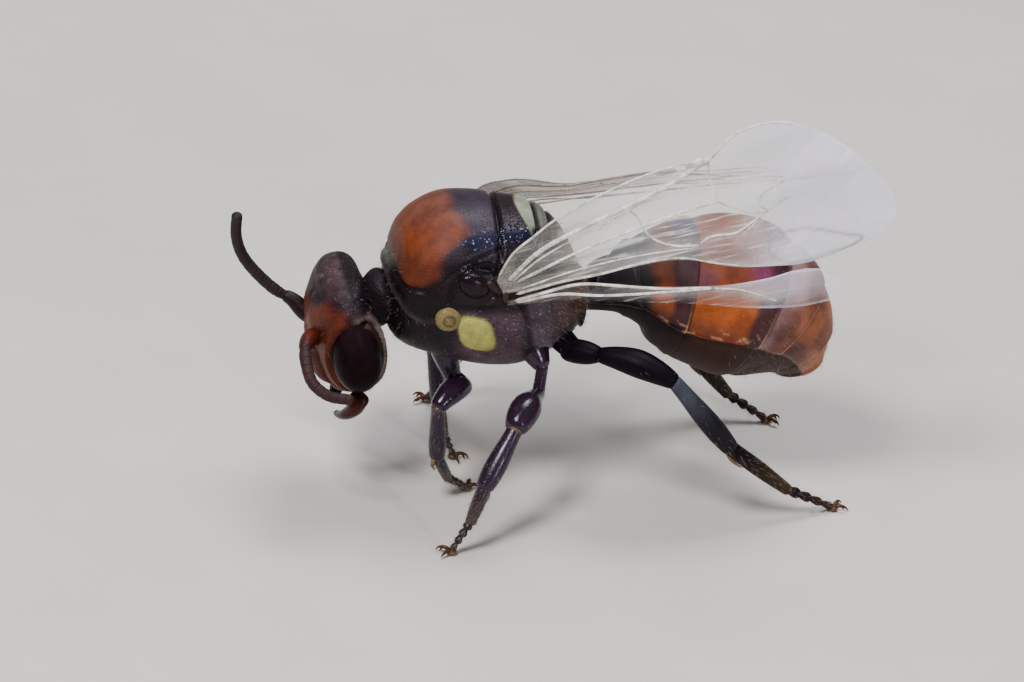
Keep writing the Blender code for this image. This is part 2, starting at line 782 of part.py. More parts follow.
def main():
    clear_scene()
    make_thorax(material("thorax", "orange", 0.35))
    make_abdomen(material("abdomen", "amber", 0.25))
    make_head(material("head", "dark", 0.4))
    for label, side in (("left", LEFT), ("right", RIGHT)):
        make_eye("eye_" + label, side, material("eye_" + label, "eye", 0.15))
        make_mandible("mandible_" + label, side, material("mandible_" + label, "dark", 0.3))
    make_antenna("antenna_left", NEAR_ANTENNA, material("antenna_left", "dark", 0.5))
    make_antenna("antenna_right", FAR_ANTENNA, material("antenna_right", "dark", 0.5))
    legs = {
        "leg_fore_left": FORE_LEG,
        "leg_fore_right": FAR_FORE_LEG,
        "leg_mid_left": MID_LEG,
        "leg_mid_right": FAR_MID_LEG,
        "leg_hind_left": HIND_LEG,
        "leg_hind_right": FAR_HIND_LEG,
    }
    for name, joints in legs.items():
        make_leg(name, joints, THIGH_RADIUS[name.split("_")[1]], material(name, "dark", 0.3))
    shapes = {
        "forewing_": (FOREWING_LEAD, FOREWING_TRAIL, FOREWING_VEINS),
        "hindwing_": (HINDWING_LEAD, HINDWING_TRAIL, HINDWING_VEINS),
    }
    for label, wing in (("left", NEAR_WING), ("right", FAR_WING)):
        for kind, (lead, trail, veins) in shapes.items():
            name = kind + label
            make_wing(name, wing, lead, trail, veins, material(name, "wing", 0.2))


main()
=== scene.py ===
"""A life-size still masked bee: the finish of every surface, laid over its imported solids.

Places are in millimetres from a point on the floor under the middle of the thorax. The bee
looks along -X, its left side is -Y and up is +Z. at_bee turns them into the scene's metres.
"""

import json
import math
from types import SimpleNamespace

import bmesh
import bpy
import numpy as np
from bpy.props import FloatProperty, FloatVectorProperty, IntProperty, PointerProperty
from mathutils import Matrix, Vector

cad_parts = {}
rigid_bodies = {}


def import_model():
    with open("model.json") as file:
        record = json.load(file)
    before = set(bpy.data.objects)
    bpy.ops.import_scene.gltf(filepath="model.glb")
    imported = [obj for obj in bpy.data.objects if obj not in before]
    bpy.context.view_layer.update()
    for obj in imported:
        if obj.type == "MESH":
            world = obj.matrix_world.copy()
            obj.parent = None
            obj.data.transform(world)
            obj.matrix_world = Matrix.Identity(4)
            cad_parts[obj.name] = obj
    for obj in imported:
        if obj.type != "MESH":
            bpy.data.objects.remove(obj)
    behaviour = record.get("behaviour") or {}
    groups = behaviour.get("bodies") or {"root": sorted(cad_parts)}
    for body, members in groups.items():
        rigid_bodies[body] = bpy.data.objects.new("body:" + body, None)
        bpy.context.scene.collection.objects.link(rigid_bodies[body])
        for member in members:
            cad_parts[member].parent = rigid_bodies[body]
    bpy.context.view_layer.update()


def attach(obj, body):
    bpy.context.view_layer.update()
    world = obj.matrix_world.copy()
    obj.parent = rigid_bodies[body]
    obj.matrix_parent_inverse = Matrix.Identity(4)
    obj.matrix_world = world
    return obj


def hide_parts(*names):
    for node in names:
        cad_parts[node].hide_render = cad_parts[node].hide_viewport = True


bl_info = {
    "name": "Masked bee",
    "version": (1, 0, 0),
    "blender": (4, 5, 0),
    "location": "3D View > Sidebar > Bee",
    "description": "Dresses a standing masked bee in shell, eyes, wings and hairs",
    "category": "Object",
}

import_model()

MM = 0.001
BEE_X = -1.61
BEE_Y = -0.49
LEFT = -1
RIGHT = 1
SIDES = {"left": LEFT, "right": RIGHT}
COAT_MAP = "OFBake"
# How finely smooth lines and tables of sections are followed
LINE_STEPS = 400
SECTION_STEPS = 600
# Colour of the painted glints, small painted highlights on the shell, and the place that the lamps face
GLINT_COLOUR = (0.36, 0.40, 0.58, 1.0)
LAMP_TARGET = (1.0, 0.0, 3.5)

# Camera: angle round the bee, height angle and roll, all in degrees, and how much it takes in
VIEW_AROUND = -12.0
VIEW_HEIGHT = 28.0
VIEW_ROLL = 6.0
VIEW_WIDTH = 17.9
VIEW_DISTANCE = 150.0
SENSOR_WIDTH = 36.0
# Middle of the picture, right of and above the thorax middle
VIEW_SHIFT = (0.874, -1.119)
THORAX_MIDDLE = (0.0, 0.0, 4.0)

# Thorax sections: distance behind the middle, top, bottom, half width
THORAX_STATIONS = [
    (-1.38, 3.86, 3.80, 0.02),
    (-1.36, 4.14, 3.50, 0.36),
    (-1.30, 4.52, 3.20, 0.73),
    (-1.20, 4.91, 3.02, 0.98),
    (-1.05, 5.16, 2.90, 1.13),
    (-0.82, 5.36, 2.80, 1.24),
    (-0.55, 5.50, 2.72, 1.33),
    (0.00, 5.56, 2.58, 1.40),
    (0.55, 5.50, 2.50, 1.38),
    (1.05, 5.42, 2.52, 1.27),
    (1.45, 5.20, 2.68, 1.10),
    (1.80, 4.78, 2.92, 0.86),
    (2.06, 4.24, 3.16, 0.56),
    (2.20, 3.84, 3.38, 0.26),
    (2.22, 3.62, 3.58, 0.02),
]
THORAX_ROUNDNESS = 0.9
WIDEST_HEIGHT = 0.45
# Grooves across the back: place along the body, depth, half length, lowest height
BACK_GROOVES = [
    (0.43, 0.085, 0.045, 4.92),
    (1.15, 0.080, 0.040, 4.70),
    (1.42, 0.060, 0.040, 4.50),
]
# Grooves on the right flank, mirrored to the left: depth, half width and the line itself
FLANK_GROOVES = [
    (0.060, 0.045, [(-1.34, 0.50, 4.36), (-1.18, 0.98, 4.30), (-0.90, 1.20, 4.34),
                    (-0.60, 1.29, 4.58), (-0.30, 1.24, 4.84), (0.05, 1.14, 4.97), (0.43, 0.97, 5.08)]),
    (0.070, 0.060, [(-0.46, 1.36, 4.22), (-0.38, 1.34, 4.62), (-0.16, 1.26, 4.83), (0.15, 1.20, 4.84),
                    (0.50, 1.16, 4.72), (0.95, 1.02, 4.86), (1.10, 0.62, 5.24)]),
    (0.050, 0.040, [(-0.70, 1.33, 3.72), (-0.86, 1.22, 3.40), (-1.00, 1.02, 3.10),
                    (-1.02, 0.60, 2.86)]),
    (0.045, 0.035, [(0.80, 1.32, 4.28), (0.93, 1.27, 3.90), (1.04, 1.17, 3.52), (1.16, 1.05, 3.16),
                    (1.30, 0.80, 2.82)]),
    (0.045, 0.030, [(0.93, 1.28, 3.92), (1.20, 1.16, 3.72), (1.48, 1.00, 3.64), (1.62, 0.92, 3.80)]),
    (0.040, 0.030, [(1.20, 1.16, 4.48), (1.38, 1.08, 4.10), (1.50, 1.00, 3.66), (1.62, 0.86, 3.30)]),
    (0.045, 0.035, [(-0.46, 1.38, 4.16), (0.00, 1.41, 4.12), (0.45, 1.40, 4.16), (0.80, 1.32, 4.30)]),
]
# Short dark line on the front of the shield, on the right
SHIELD_LINE = [(-1.24, 0.36, 4.80), (-1.28, 0.45, 4.56), (-1.22, 0.66, 4.46)]
# Coarse blue band beside the shield, on the right
BLUE_BAND = [(-0.10, 0.98, 5.18), (0.24, 0.90, 5.24), (0.61, 0.80, 5.26), (0.93, 0.70, 5.24)]
# The collar's raised rim on the right, mirrored
COLLAR_RIM = [(-1.37, 0.00, 4.16), (-1.36, 0.40, 4.12), (-1.25, 0.86, 4.04), (-1.09, 1.10, 3.86),
              (-0.84, 1.26, 3.76), (-0.64, 1.34, 3.82)]
# The pale patch on each flank: its middle and half size, along and up
SIDE_PATCH_AT = (0.08, 3.60)
SIDE_PATCH_HALF = (0.31, 0.35)
SIDE_PATCH_SQUARENESS = 2.8
# The neck, from the head into the chest
NECK_PATH = [(-1.80, 0, 3.26), (-1.58, 0, 3.42), (-1.38, 0, 3.62), (-1.12, 0, 3.80)]
NECK_RADII = [0.44, 0.42, 0.50, 0.78]
# The scale over each wing root and the pale lobe beside the collar, on the right
WING_SCALE_AT = np.array((-0.04, 1.31, 4.53))
WING_SCALE_HALF = (0.30, 0.15, 0.22)
WING_SCALE_LEAN = 0.5
LOBE_AT = np.array((-0.43, 1.32, 3.88))
LOBE_HALF = (0.24, 0.14, 0.235)
LOBE_COLOUR = (0.20, 0.155, 0.062)
LOBE_RING_RADIUS = 0.10
# Small plates at each wing root: place, size and how pale
WING_KNUCKLES = [
    (0.32, 1.32, 4.50, 0.14, 0.05),
    (0.52, 1.34, 4.36, 0.12, 0.12),
    (0.28, 1.34, 4.26, 0.10, 0.05),
    (0.72, 1.30, 4.46, 0.10, 0.25),
    (0.66, 1.28, 4.20, 0.12, 0.08),
]

# Abdomen sections along its curved middle: distance behind the thorax middle, height, radius
ABDOMEN_STATIONS = [
    (2.00, 3.60, 0.20),
    (2.26, 3.54, 0.17),
    (2.50, 3.58, 0.24),
    (2.72, 3.70, 0.50),
    (3.10, 3.84, 0.86),
    (3.60, 3.84, 1.17),
    (4.10, 3.77, 1.36),
    (4.60, 3.69, 1.46),
    (5.02, 3.57, 1.46),
    (5.40, 3.39, 1.34),
    (5.74, 3.10, 1.11),
    (5.99, 2.76, 0.83),
    (6.15, 2.43, 0.54),
    (6.22, 2.24, 0.30),
    (6.24, 2.18, 0.02),
]
# Distance along the abdomen's middle, from the waist, at which each back plate ends
PLATE_ENDS = [1.18, 1.93, 3.30, 3.85, 4.49]
# How far a plate stands out at its end, and where the first one starts
PLATE_STEP = 0.075
FIRST_PLATE_START = 0.3
# How many rings the abdomen's skin has
ABDOMEN_RINGS = 320
# Where the belly is let out, so that it runs smoothly under the bent tip
FOLD_AT = 4.10
# Upper edge of the belly plates: distance along the middle and sine of the angle round it
BELLY_EDGE = [(0.0, 0.0), (1.1, -0.05), (1.6, -0.21), (2.1, -0.23), (3.0, -0.15), (3.7, -0.15),
              (4.2, -0.08), (5.1, 0.0)]

# Head middle, how far the mouth is tucked back, and sections up from the mouth:
# height, front, back, half width
HEAD_AT = (-1.93, 0.0, 3.03)
HEAD_TUCK = math.radians(13)
HEAD_TURN = np.array(Matrix.Translation(Vector(HEAD_AT)) @ Matrix.Rotation(-HEAD_TUCK, 4, "Y"))
HEAD_STATIONS = [
    (-1.14, 0.02, 0.02, 0.02),
    (-1.12, 0.14, 0.14, 0.28),
    (-1.06, 0.34, 0.26, 0.48),
    (-0.85, 0.52, 0.42, 0.72),
    (-0.50, 0.62, 0.53, 0.93),
    (-0.10, 0.66, 0.53, 1.07),
    (0.30, 0.64, 0.44, 1.15),
    (0.65, 0.58, 0.38, 1.14),
    (0.90, 0.46, 0.36, 1.00),
    (1.06, 0.30, 0.28, 0.72),
    (1.12, 0.14, 0.16, 0.36),
    (1.14, 0.02, 0.02, 0.02),
]
HEAD_ROUNDNESS = 0.83
EYE_AT = (0.0, 0.86, -0.06)
EYE_HALF = (0.43, 0.44, 0.79)
EYE_NARROWING = 0.16
SOCKET_AT = np.array((-0.60, 0.30, 0.02))
SOCKET_HALF = (0.10, 0.12, 0.12)
# The three small eyes on the crown
BEADS = [(-0.20, -0.22, 1.03), (-0.33, 0.0, 1.03), (-0.20, 0.22, 1.03)]
BEAD_HALF = (0.085, 0.08, 0.085)
BEAD_COLOUR = (0.05, 0.035, 0.03)
# Lip and tongue at the mouth
LIP_AT = (-0.30, 0.0, -1.03)
LIP_HALF = (0.19, 0.32, 0.15)
TONGUE_AT = (0.12, 0.0, -1.02)
TONGUE_HALF = (0.26, 0.20, 0.24)

# Feelers: from the socket over the elbow to the tip
FEELERS = {
    "left": [(-2.46, -0.34, 3.02), (-2.70, -0.60, 3.08), (-2.84, -0.98, 3.06), (-2.84, -1.26, 2.92),
             (-2.74, -1.48, 2.68), (-2.48, -1.61, 2.51), (-2.08, -1.66, 2.45)],
    "right": [(-2.46, 0.34, 2.98), (-2.66, 0.44, 3.08), (-2.86, 0.54, 3.24), (-3.12, 0.62, 3.36),
              (-3.48, 0.66, 3.66), (-3.82, 0.64, 4.10), (-3.96, 0.56, 4.52), (-3.98, 0.52, 4.92)],
}
# Each feeler: share of the stalk, its painted brightness, and the colour of the whip; the right one, on
# the far side, is painted darker as shade
FEELER_LOOKS = {
    "left": (0.34, 0.8, (0.030, 0.012, 0.013)),
    "right": (0.25, 0.08, (0.018, 0.011, 0.010)),
}
FEELER_RINGS = 11
STALK_RADII = [0.13, 0.165, 0.155, 0.13, 0.10]
WHIP_RADIUS = 0.107
JAW_PATH = [(-0.02, 0.66, -0.98), (-0.12, 0.68, -1.22), (-0.30, 0.56, -1.42), (-0.44, 0.32, -1.54),
            (-0.48, 0.20, -1.56)]
JAW_RADII = [0.17, 0.20, 0.16, 0.11, 0.06]

# Leg joints: inside the chest, hip end, trochanter end, knee, ankle, end of the heel ring, toe
LEGS = {
    "leg_fore_left": [(-0.34, -0.42, 2.92), (-0.10, -0.56, 2.34), (0.12, -0.66, 2.20),
                      (-0.44, -1.20, 2.06), (-0.32, -0.98, 0.95), (-0.06, -0.78, 0.42),
                      (0.36, -0.50, 0.07)],
    "leg_fore_right": [(-0.34, 0.42, 2.92), (-0.10, 0.56, 2.34), (0.12, 0.72, 2.16),
                       (-0.16, 1.20, 1.98), (0.02, 1.00, 0.95), (0.12, 0.86, 0.44), (0.30, 0.66, 0.07)],
    "leg_mid_left": [(1.22, -0.76, 3.05), (1.38, -1.02, 2.78), (1.32, -1.18, 2.34),
                     (0.78, -2.10, 2.12), (0.24, -2.60, 1.24), (0.04, -2.70, 0.62),
                     (-0.26, -2.76, 0.07)],
    "leg_mid_right": [(1.22, 0.76, 3.05), (1.38, 1.02, 2.78), (1.34, 1.20, 2.42), (1.02, 2.12, 2.20),
                      (0.60, 2.60, 1.24), (0.42, 2.68, 0.62), (0.14, 2.72, 0.07)],
    "leg_hind_left": [(1.62, -0.52, 3.22), (1.96, -0.76, 2.96), (2.36, -1.06, 3.04),
                      (3.60, -1.74, 2.88), (4.74, -1.74, 1.56), (5.92, -1.44, 0.56),
                      (6.84, -1.20, 0.07)],
    "leg_hind_right": [(1.62, 0.52, 3.22), (1.96, 0.76, 2.96), (2.34, 1.14, 3.10), (3.34, 2.00, 3.26),
                       (4.78, 2.26, 1.30), (5.52, 2.16, 0.50), (6.24, 2.00, 0.07)],
}
# Radii along each stretch: hip, trochanter, thigh, shin, heel ring
LEG_RADII = {
    "fore": [(0.26, 0.23, 0.15), (0.13, 0.15, 0.13), (0.14, 0.21, 0.23, 0.19, 0.13),
             (0.12, 0.13, 0.15, 0.16, 0.13), (0.10, 0.11, 0.09)],
    "mid": [(0.34, 0.24, 0.13), (0.11, 0.11, 0.12), (0.12, 0.17, 0.27, 0.26, 0.17),
            (0.14, 0.16, 0.19, 0.19, 0.15), (0.12, 0.13, 0.10)],
    "hind": [(0.26, 0.24, 0.20), (0.19, 0.235, 0.22, 0.13), (0.13, 0.22, 0.27, 0.23, 0.14),
             (0.14, 0.165, 0.20, 0.205, 0.16), (0.15, 0.155, 0.11)],
}
# Each pair of legs: painted brightness (the hind pair darkened as painted shade), how pale its knees are,
# and length of its spurs
LEG_LOOKS = {"fore": (1.2, 0.4, 0.22), "mid": (1.3, 1.0, 0.34), "hind": (0.3, 0.0, 0.50)}
# Stretches of a leg, counted from the hip
TROCHANTER, THIGH, SHIN = 1, 2, 3
# How far the hind trochanter starts inside the hip, as a share of its length
HIND_TROCHANTER_START = 0.35
SPUR_RADII = [0.045, 0.040, 0.025, 0.008]
# Across which way limbs are a little flattened, how far they run into each other, and the thighs' bow
LIMB_UP = (0.2, 0.1, 1.0)
LIMB_OVERLAP = 0.07
THIGH_ARCH = 0.10
TOE_RINGS = 4
# Share of the foot that its rings take up, length of a ring in steps, and its radii as shares
TOES_REACH = 0.96
TOE_LENGTH = 1.12
TOE_RADII = np.array([0.55, 0.85, 1.05, 0.9])
PAD_HALF = (0.10, 0.10, 0.05)
# A claw and its fork, ahead of the toe, outwards and up: line, radii, and sides round and along
CLAW_LINES = [
    ([(0, 0, 0), (0.10, 0.08, 0.05), (0.19, 0.13, 0.02), (0.23, 0.14, -0.04)],
     [0.045, 0.035, 0.022, 0.006], (12, 16)),
    ([(0.10, 0.08, 0.05), (0.15, 0.09, 0.0), (0.18, 0.08, -0.04)], [0.025, 0.018, 0.006], (10, 10)),
]

# Wings: edges and veins as points along the wing from its root and across it
FOREWING_LEAD = [(-0.12, 0.20), (0.24, 0.64), (0.65, 0.85), (1.05, 1.07), (1.89, 1.34), (2.6, 1.50),
                 (3.34, 1.57), (3.90, 1.60), (4.10, 1.72), (4.55, 1.92), (4.94, 1.96), (5.29, 1.91),
                 (5.61, 1.75), (6.0, 1.46), (6.53, 0.88), (6.80, 0.48), (6.94, 0.07), (6.92, -0.22)]
FOREWING_TRAIL = [(-0.05, -0.06), (0.5, -0.10), (1.23, -0.11), (1.74, -0.12), (2.4, -0.10),
                  (2.97, -0.13), (3.45, -0.26), (3.75, -0.41), (4.1, -0.53), (4.6, -0.63),
                  (5.1, -0.71), (5.6, -0.69), (6.1, -0.60), (6.55, -0.53), (6.80, -0.42), (6.92, -0.22)]
HINDWING_LEAD = [(-0.02, -0.22), (0.5, -0.17), (1.1, -0.17), (1.7, -0.30), (2.4, -0.52), (3.2, -0.70),
                 (3.8, -0.80), (4.5, -0.84), (5.1, -0.82), (5.55, -0.95), (5.84, -1.22)]
HINDWING_TRAIL = [(-0.02, -0.30), (0.9, -0.42), (1.7, -0.62), (2.5, -0.84), (3.25, -1.04),
                  (4.0, -1.28), (4.6, -1.42), (5.2, -1.48), (5.65, -1.42), (5.84, -1.22)]
# Each vein: radius at its start and end, then its line
FOREWING_VEINS = [
    (0.030, 0.016, [(-0.10, 0.24), (0.26, 0.64), (0.65, 0.84), (1.05, 1.05), (1.47, 1.20),
                    (1.89, 1.32), (2.9, 1.53), (3.80, 1.56)]),
    (0.050, 0.056, [(0.05, 0.14), (0.72, 0.56), (1.49, 0.80), (2.24, 1.00), (3.00, 1.22),
                    (3.59, 1.45), (3.93, 1.56)]),
    (0.026, 0.020, [(0.13, 0.12), (0.51, 0.33), (1.08, 0.54), (1.94, 0.79), (2.38, 0.94),
                    (2.65, 1.08)]),
    (0.036, 0.020, [(0.20, 0.09), (1.03, 0.31), (1.78, 0.47), (2.53, 0.60), (3.27, 0.71),
                    (3.90, 0.76)]),
    (0.024, 0.030, [(2.36, 0.94), (2.48, 0.80), (2.53, 0.60), (2.62, 0.42), (2.77, 0.25),
                    (2.98, 0.13), (3.45, 0.03)]),
    (0.024, 0.022, [(3.86, 1.52), (3.83, 1.24), (3.88, 1.00), (3.89, 0.76)]),
    (0.016, 0.012, [(3.86, 1.18), (4.23, 1.09), (4.58, 1.04), (5.14, 0.93)]),
    (0.024, 0.020, [(3.90, 0.76), (4.14, 0.61), (4.50, 0.40), (4.73, 0.38)]),
    (0.014, 0.020, [(5.13, 0.87), (4.90, 0.80), (4.71, 0.74), (4.60, 0.56), (4.73, 0.38)]),
    (0.030, 0.008, [(3.45, 0.04), (3.60, 0.12), (4.14, 0.12), (4.43, 0.24), (4.73, 0.38),
                    (4.95, 0.49), (5.3, 0.60)]),
    (0.008, 0.014, [(4.10, -0.02), (4.36, 0.14), (4.56, 0.26)]),
    (0.022, 0.014, [(0.25, -0.04), (1.16, 0.04), (2.16, 0.07), (2.96, 0.04), (3.45, 0.00)]),
    (0.028, 0.008, [(3.93, 1.56), (4.34, 1.84), (4.94, 1.94), (5.5, 1.80)]),
    (0.036, 0.012, [(0.14, -0.12), (0.96, -0.08), (1.68, -0.10), (2.4, -0.07), (3.11, -0.12),
                    (3.69, -0.36), (4.1, -0.50)]),
]
HINDWING_VEINS = [
    (0.036, 0.026, [(0.10, -0.24), (0.67, -0.22), (1.21, -0.20), (1.97, -0.42), (2.65, -0.62),
                    (3.55, -0.80)]),
    (0.034, 0.026, [(0.12, -0.27), (0.92, -0.32), (1.60, -0.50), (2.30, -0.63), (3.55, -0.81)]),
    (0.024, 0.010, [(3.52, -0.80), (4.03, -0.95), (4.59, -1.28)]),
    (0.010, 0.008, [(5.10, -0.80), (5.55, -0.95), (5.84, -1.24)]),
]
# The thicker spot on the forewing's leading edge
STIGMA_LINE = [(3.45, 1.50), (3.65, 1.52), (3.88, 1.55)]
STIGMA_RADII = [0.05, 0.095, 0.06]
# Across which way veins are a little flattened
VEIN_UP = (0.15, 0.8, 0.25)
# Each wing's edges and veins, and how finely its skin is divided along and across
WING_SHAPES = {
    "forewing": (FOREWING_LEAD, FOREWING_TRAIL, FOREWING_VEINS, 160, 48),
    "hindwing": (HINDWING_LEAD, HINDWING_TRAIL, HINDWING_VEINS, 130, 20),
}
# A fold in the forewing's skin near its tip, as a closed line
FORE_FOLD = [(4.62, -0.19), (4.82, -0.09), (5.27, -0.08), (5.94, -0.34), (6.27, -0.49), (6.07, -0.58),
             (5.71, -0.62), (4.82, -0.58), (4.64, -0.45), (4.62, -0.19)]
# Painted highlights along creases in the near forewing's skin, three near its tip and three along its
# cells
FORE_CREASES = [
    [(5.75, 1.41), (5.42, 1.20), (5.19, 0.91), (4.88, 0.72)],
    [(6.60, 0.69), (6.22, 0.55), (5.96, 0.46), (5.47, 0.22), (5.25, 0.17)],
    [(6.33, 1.18), (6.14, 0.93), (5.83, 0.80)],
    [(1.12, 0.79), (1.89, 1.02), (2.64, 1.18), (3.16, 1.30)],
    [(1.29, 0.24), (1.94, 0.32), (2.48, 0.38)],
    [(2.61, 1.02), (3.34, 1.09), (3.70, 1.12)],
]
# Wings of each side: root, angle upwards, lean at the root and further out in degrees, how far the
# root is pulled in, then painted highlight streaks, thickness of the veins and tone as factors, the
# right wing's tone darkened as painted shade
WINGS = {
    "left": {"root": (0.42, -1.79, 4.70), "angle": 14.8, "lean_root": -6.0, "lean_out": -9.0,
             "pull": (0.08, 0.38, -0.20), "streaks": 0.42, "fine": 0.8, "tone": (1.0, 1.0, 1.0)},
    "right": {"root": (0.50, 1.98, 4.50), "angle": 5.5, "lean_root": -88.0, "lean_out": -112.0,
              "pull": (-0.10, -0.55, 0.20), "streaks": 0.30, "fine": 0.55, "tone": (0.36, 0.31, 0.27)},
}
WING_TWIST_LENGTH = 2.0
WING_PULL_LENGTH = 0.9


def shade(default, name, what):
    """A colour setting."""
    return FloatVectorProperty(
        name=name, description=what, default=default, subtype="COLOR", size=3, min=0.0, max=1.0
    )


def length(default, name, what):
    """A length setting, given in millimetres and kept in metres."""
    return FloatProperty(name=name, description=what, default=default * MM, unit="LENGTH", precision=6)


def amount(default, name, what):
    """A whole number setting."""
    return IntProperty(name=name, description=what, default=default)


class BeeSizes(bpy.types.PropertyGroup):
    """Small sizes that the solids don't set."""

    pit: length(0.055, "Pit spacing", "Distance between the fine pits of the shell")
    facet: length(0.028, "Facet width", "Width of one facet of the big eyes")
    membrane: length(0.012, "Membrane thickness", "Thickness of the clear wing skin")
    hair: length(0.17, "Hair length", "Length of a body hair")
    hair_width: length(0.008, "Hair width", "Width of a body hair at its root")
    head_hairs: amount(900, "Head hairs", "Hairs on the cheeks and face")
    thorax_hairs: amount(1300, "Chest hairs", "Hairs on the chest")
    abdomen_hairs: amount(900, "Abdomen hairs", "Hairs on the hind plates")
    leg_hairs: amount(420, "Leg hairs", "Hairs on each leg")


class BeeColours(bpy.types.PropertyGroup):
    """Colours of the bee and its stage."""

    dark: shade((0.011, 0.0055, 0.0085), "Dark shell", "Violet-brown of most of the chest and the legs")
    purple: shade((0.056, 0.031, 0.044), "Purple shell", "The lower flank")
    blue: shade((0.010, 0.012, 0.034), "Blue sheen", "Coarse band beside the shield")
    grey: shade((0.066, 0.052, 0.060), "Grey shell", "Small plates and the collar")
    rust: shade((0.120, 0.024, 0.006), "Rust", "Front of the shield")
    face: shade((0.100, 0.017, 0.005), "Face", "Front of the face and the feeler stalks")
    cream: shade((0.30, 0.33, 0.24), "Cream", "Crescent behind the shield")
    yellow: shade((0.33, 0.32, 0.085), "Yellow", "Patch on the flank")
    tan: shade((0.15, 0.098, 0.044), "Tan", "Neck lobe, hind slope and claws")
    amber: shade((0.27, 0.062, 0.010), "Amber", "Bright back plates of the abdomen")
    band: shade((0.028, 0.009, 0.014), "Band", "Dark rims of the back plates")
    belly: shade((0.036, 0.011, 0.006), "Belly", "Belly plates")
    vein: shade((0.86, 0.82, 0.75), "Vein", "Wing veins")
    clear: shade((0.88, 0.86, 0.92), "Membrane", "Wing skin")
    hair: shade((0.26, 0.21, 0.17), "Hair", "Short body hairs")
    floor: shade((0.58, 0.555, 0.53), "Floor", "The pale floor")


def sizes():
    """The size settings."""
    return bpy.context.scene.bee_sizes


def colours():
    """The colour settings, each as an array."""
    group = bpy.context.scene.bee_colours
    names = BeeColours.__annotations__
    return SimpleNamespace(**{name: np.array(getattr(group, name)) for name in names})


def at_bee(points):
    """Places in millimetres from under the thorax middle, as the scene's metres."""
    return (np.asarray(points, float) + (BEE_X, BEE_Y, 0.0)) * MM


def edge(value, blur):
    """0 where value is below -blur, 1 above blur and smooth between."""
    share = np.clip(value / (2 * blur) + 0.5, 0.0, 1.0)
    return share * share * (3 - 2 * share)


def bell(distance, width):
    """1 at no distance, falling off smoothly over the width."""
    return np.exp(-((distance / width) ** 2))


def power(value, sharpness):
    """A signed power, for rounded square sections."""
    return np.copysign(np.abs(value) ** sharpness, value)


def unit(directions):
    """Directions at length 1."""
    return directions / np.linalg.norm(directions, axis=-1, keepdims=True)


def mirrored(spots):
    """Spots with the left side folded on the right."""
    return spots * (1, 0, 1) + np.abs(spots) * (0, 1, 0)


def through(stations, places):
    """Rows at places on a smooth curve through stations, whose first column is the place."""
    rows = np.asarray(stations, float)
    at = rows[:, 0]
    slope = np.gradient(rows[:, 1:], at, axis=0)
    index = np.clip(np.searchsorted(at, places, side="right") - 1, 0, len(at) - 2)
    span = (at[index + 1] - at[index])[:, None]
    t = np.clip((places - at[index]) / span[:, 0], 0.0, 1.0)[:, None]
    return (
        (2 * t**3 - 3 * t**2 + 1) * rows[index, 1:]
        + (t**3 - 2 * t**2 + t) * span * slope[index]
        + (3 * t**2 - 2 * t**3) * rows[index + 1, 1:]
        + (t**3 - t**2) * span * slope[index + 1]
    )


def travelled(points):
    """The distance along a line at each of its points."""
    return np.concatenate([[0.0], np.cumsum(np.linalg.norm(np.diff(points, axis=0), axis=1))])


def evenly(points, count, start=0.0, end=1.0):
    """Even points on a smooth line through a few, from one share of its length to another."""
    rows = np.asarray(points, float)
    marks = travelled(rows)
    dense = through(np.column_stack([marks, rows]), np.linspace(0, marks[-1], LINE_STEPS))
    marks = travelled(dense)
    places = np.linspace(start, end, count) * marks[-1]
    return np.stack([np.interp(places, marks, column) for column in dense.T], axis=-1)


def sections(stations):
    """A function that gives place and three sizes at shares of the way over a table of sections."""
    table = np.asarray(stations, float)
    dense = np.linspace(table[0, 0], table[-1, 0], SECTION_STEPS)
    rows = through(table, dense)
    marks = travelled(np.column_stack([dense, rows[:, 0], rows[:, 2]]))

    def section(share):
        at = np.interp(share * marks[-1], marks, dense)
        return at, *(np.interp(at, dense, column) for column in rows.T)

    return section


def line_distance(spots, line):
    """How far each spot lies from a line through a few points."""
    best = np.full(len(spots), np.inf)
    line = np.asarray(line, float)
    for start, end in zip(line, line[1:]):
        along = end - start
        share = np.clip((spots - start) @ along / (along @ along), 0.0, 1.0)
        best = np.minimum(best, np.linalg.norm(spots - start - share[:, None] * along, axis=1))
    return best


def link(name, work):
    """A new object from a bmesh."""
    mesh = bpy.data.meshes.new(name)
    work.to_mesh(mesh)
    work.free()
    thing = bpy.data.objects.new(name, mesh)
    bpy.context.scene.collection.objects.link(thing)
    return thing


def triples(source, what):
    """One row of three numbers for each vertex."""
    values = np.empty(len(source) * 3, np.float32)
    source.foreach_get(what, values)
    return values.reshape(-1, 3).astype(float)


def read(thing):
    """Vertex places in bee millimetres."""
    return triples(thing.data.vertices, "co") / MM - (BEE_X, BEE_Y, 0.0)


def normals(thing):
    """Vertex normals."""
    return triples(thing.data.vertex_normals, "vector")


def write(thing, spots):
    """Puts vertices at places in bee millimetres."""
    thing.data.vertices.foreach_set("co", at_bee(spots).astype(np.float32).ravel())
    thing.data.update()


def keep(thing, **values):
    """Stores numbers for each vertex under their names."""
    mesh = thing.data
    for name, value in values.items():
        layer = mesh.attributes.get(name) or mesh.attributes.new(name, "FLOAT", "POINT")
        layer.data.foreach_set("value", np.full(len(mesh.vertices), value, np.float32))


def value_of(thing, name):
    """The stored number of each vertex."""
    values = np.empty(len(thing.data.vertices), np.float32)
    thing.data.attributes[name].data.foreach_get("value", values)
    return values.astype(float)


def paint(thing, shades, shine=0.5, pits=0.3, glints=0.0):
    """Stores the colour, gloss, pit depth and share of painted glints (highlights) of each vertex."""
    mesh = thing.data
    layer = mesh.color_attributes.get("Shade")
    if layer is None:
        layer = mesh.color_attributes.new("Shade", "FLOAT_COLOR", "POINT")
    rgba = np.ones((len(mesh.vertices), 4), np.float32)
    rgba[:, :3] = shades
    layer.data.foreach_set("color", rgba.ravel())
    keep(thing, Shine=np.clip(shine, 0, 1), Pits=np.clip(pits, 0, 1), Glints=glints)
    return thing


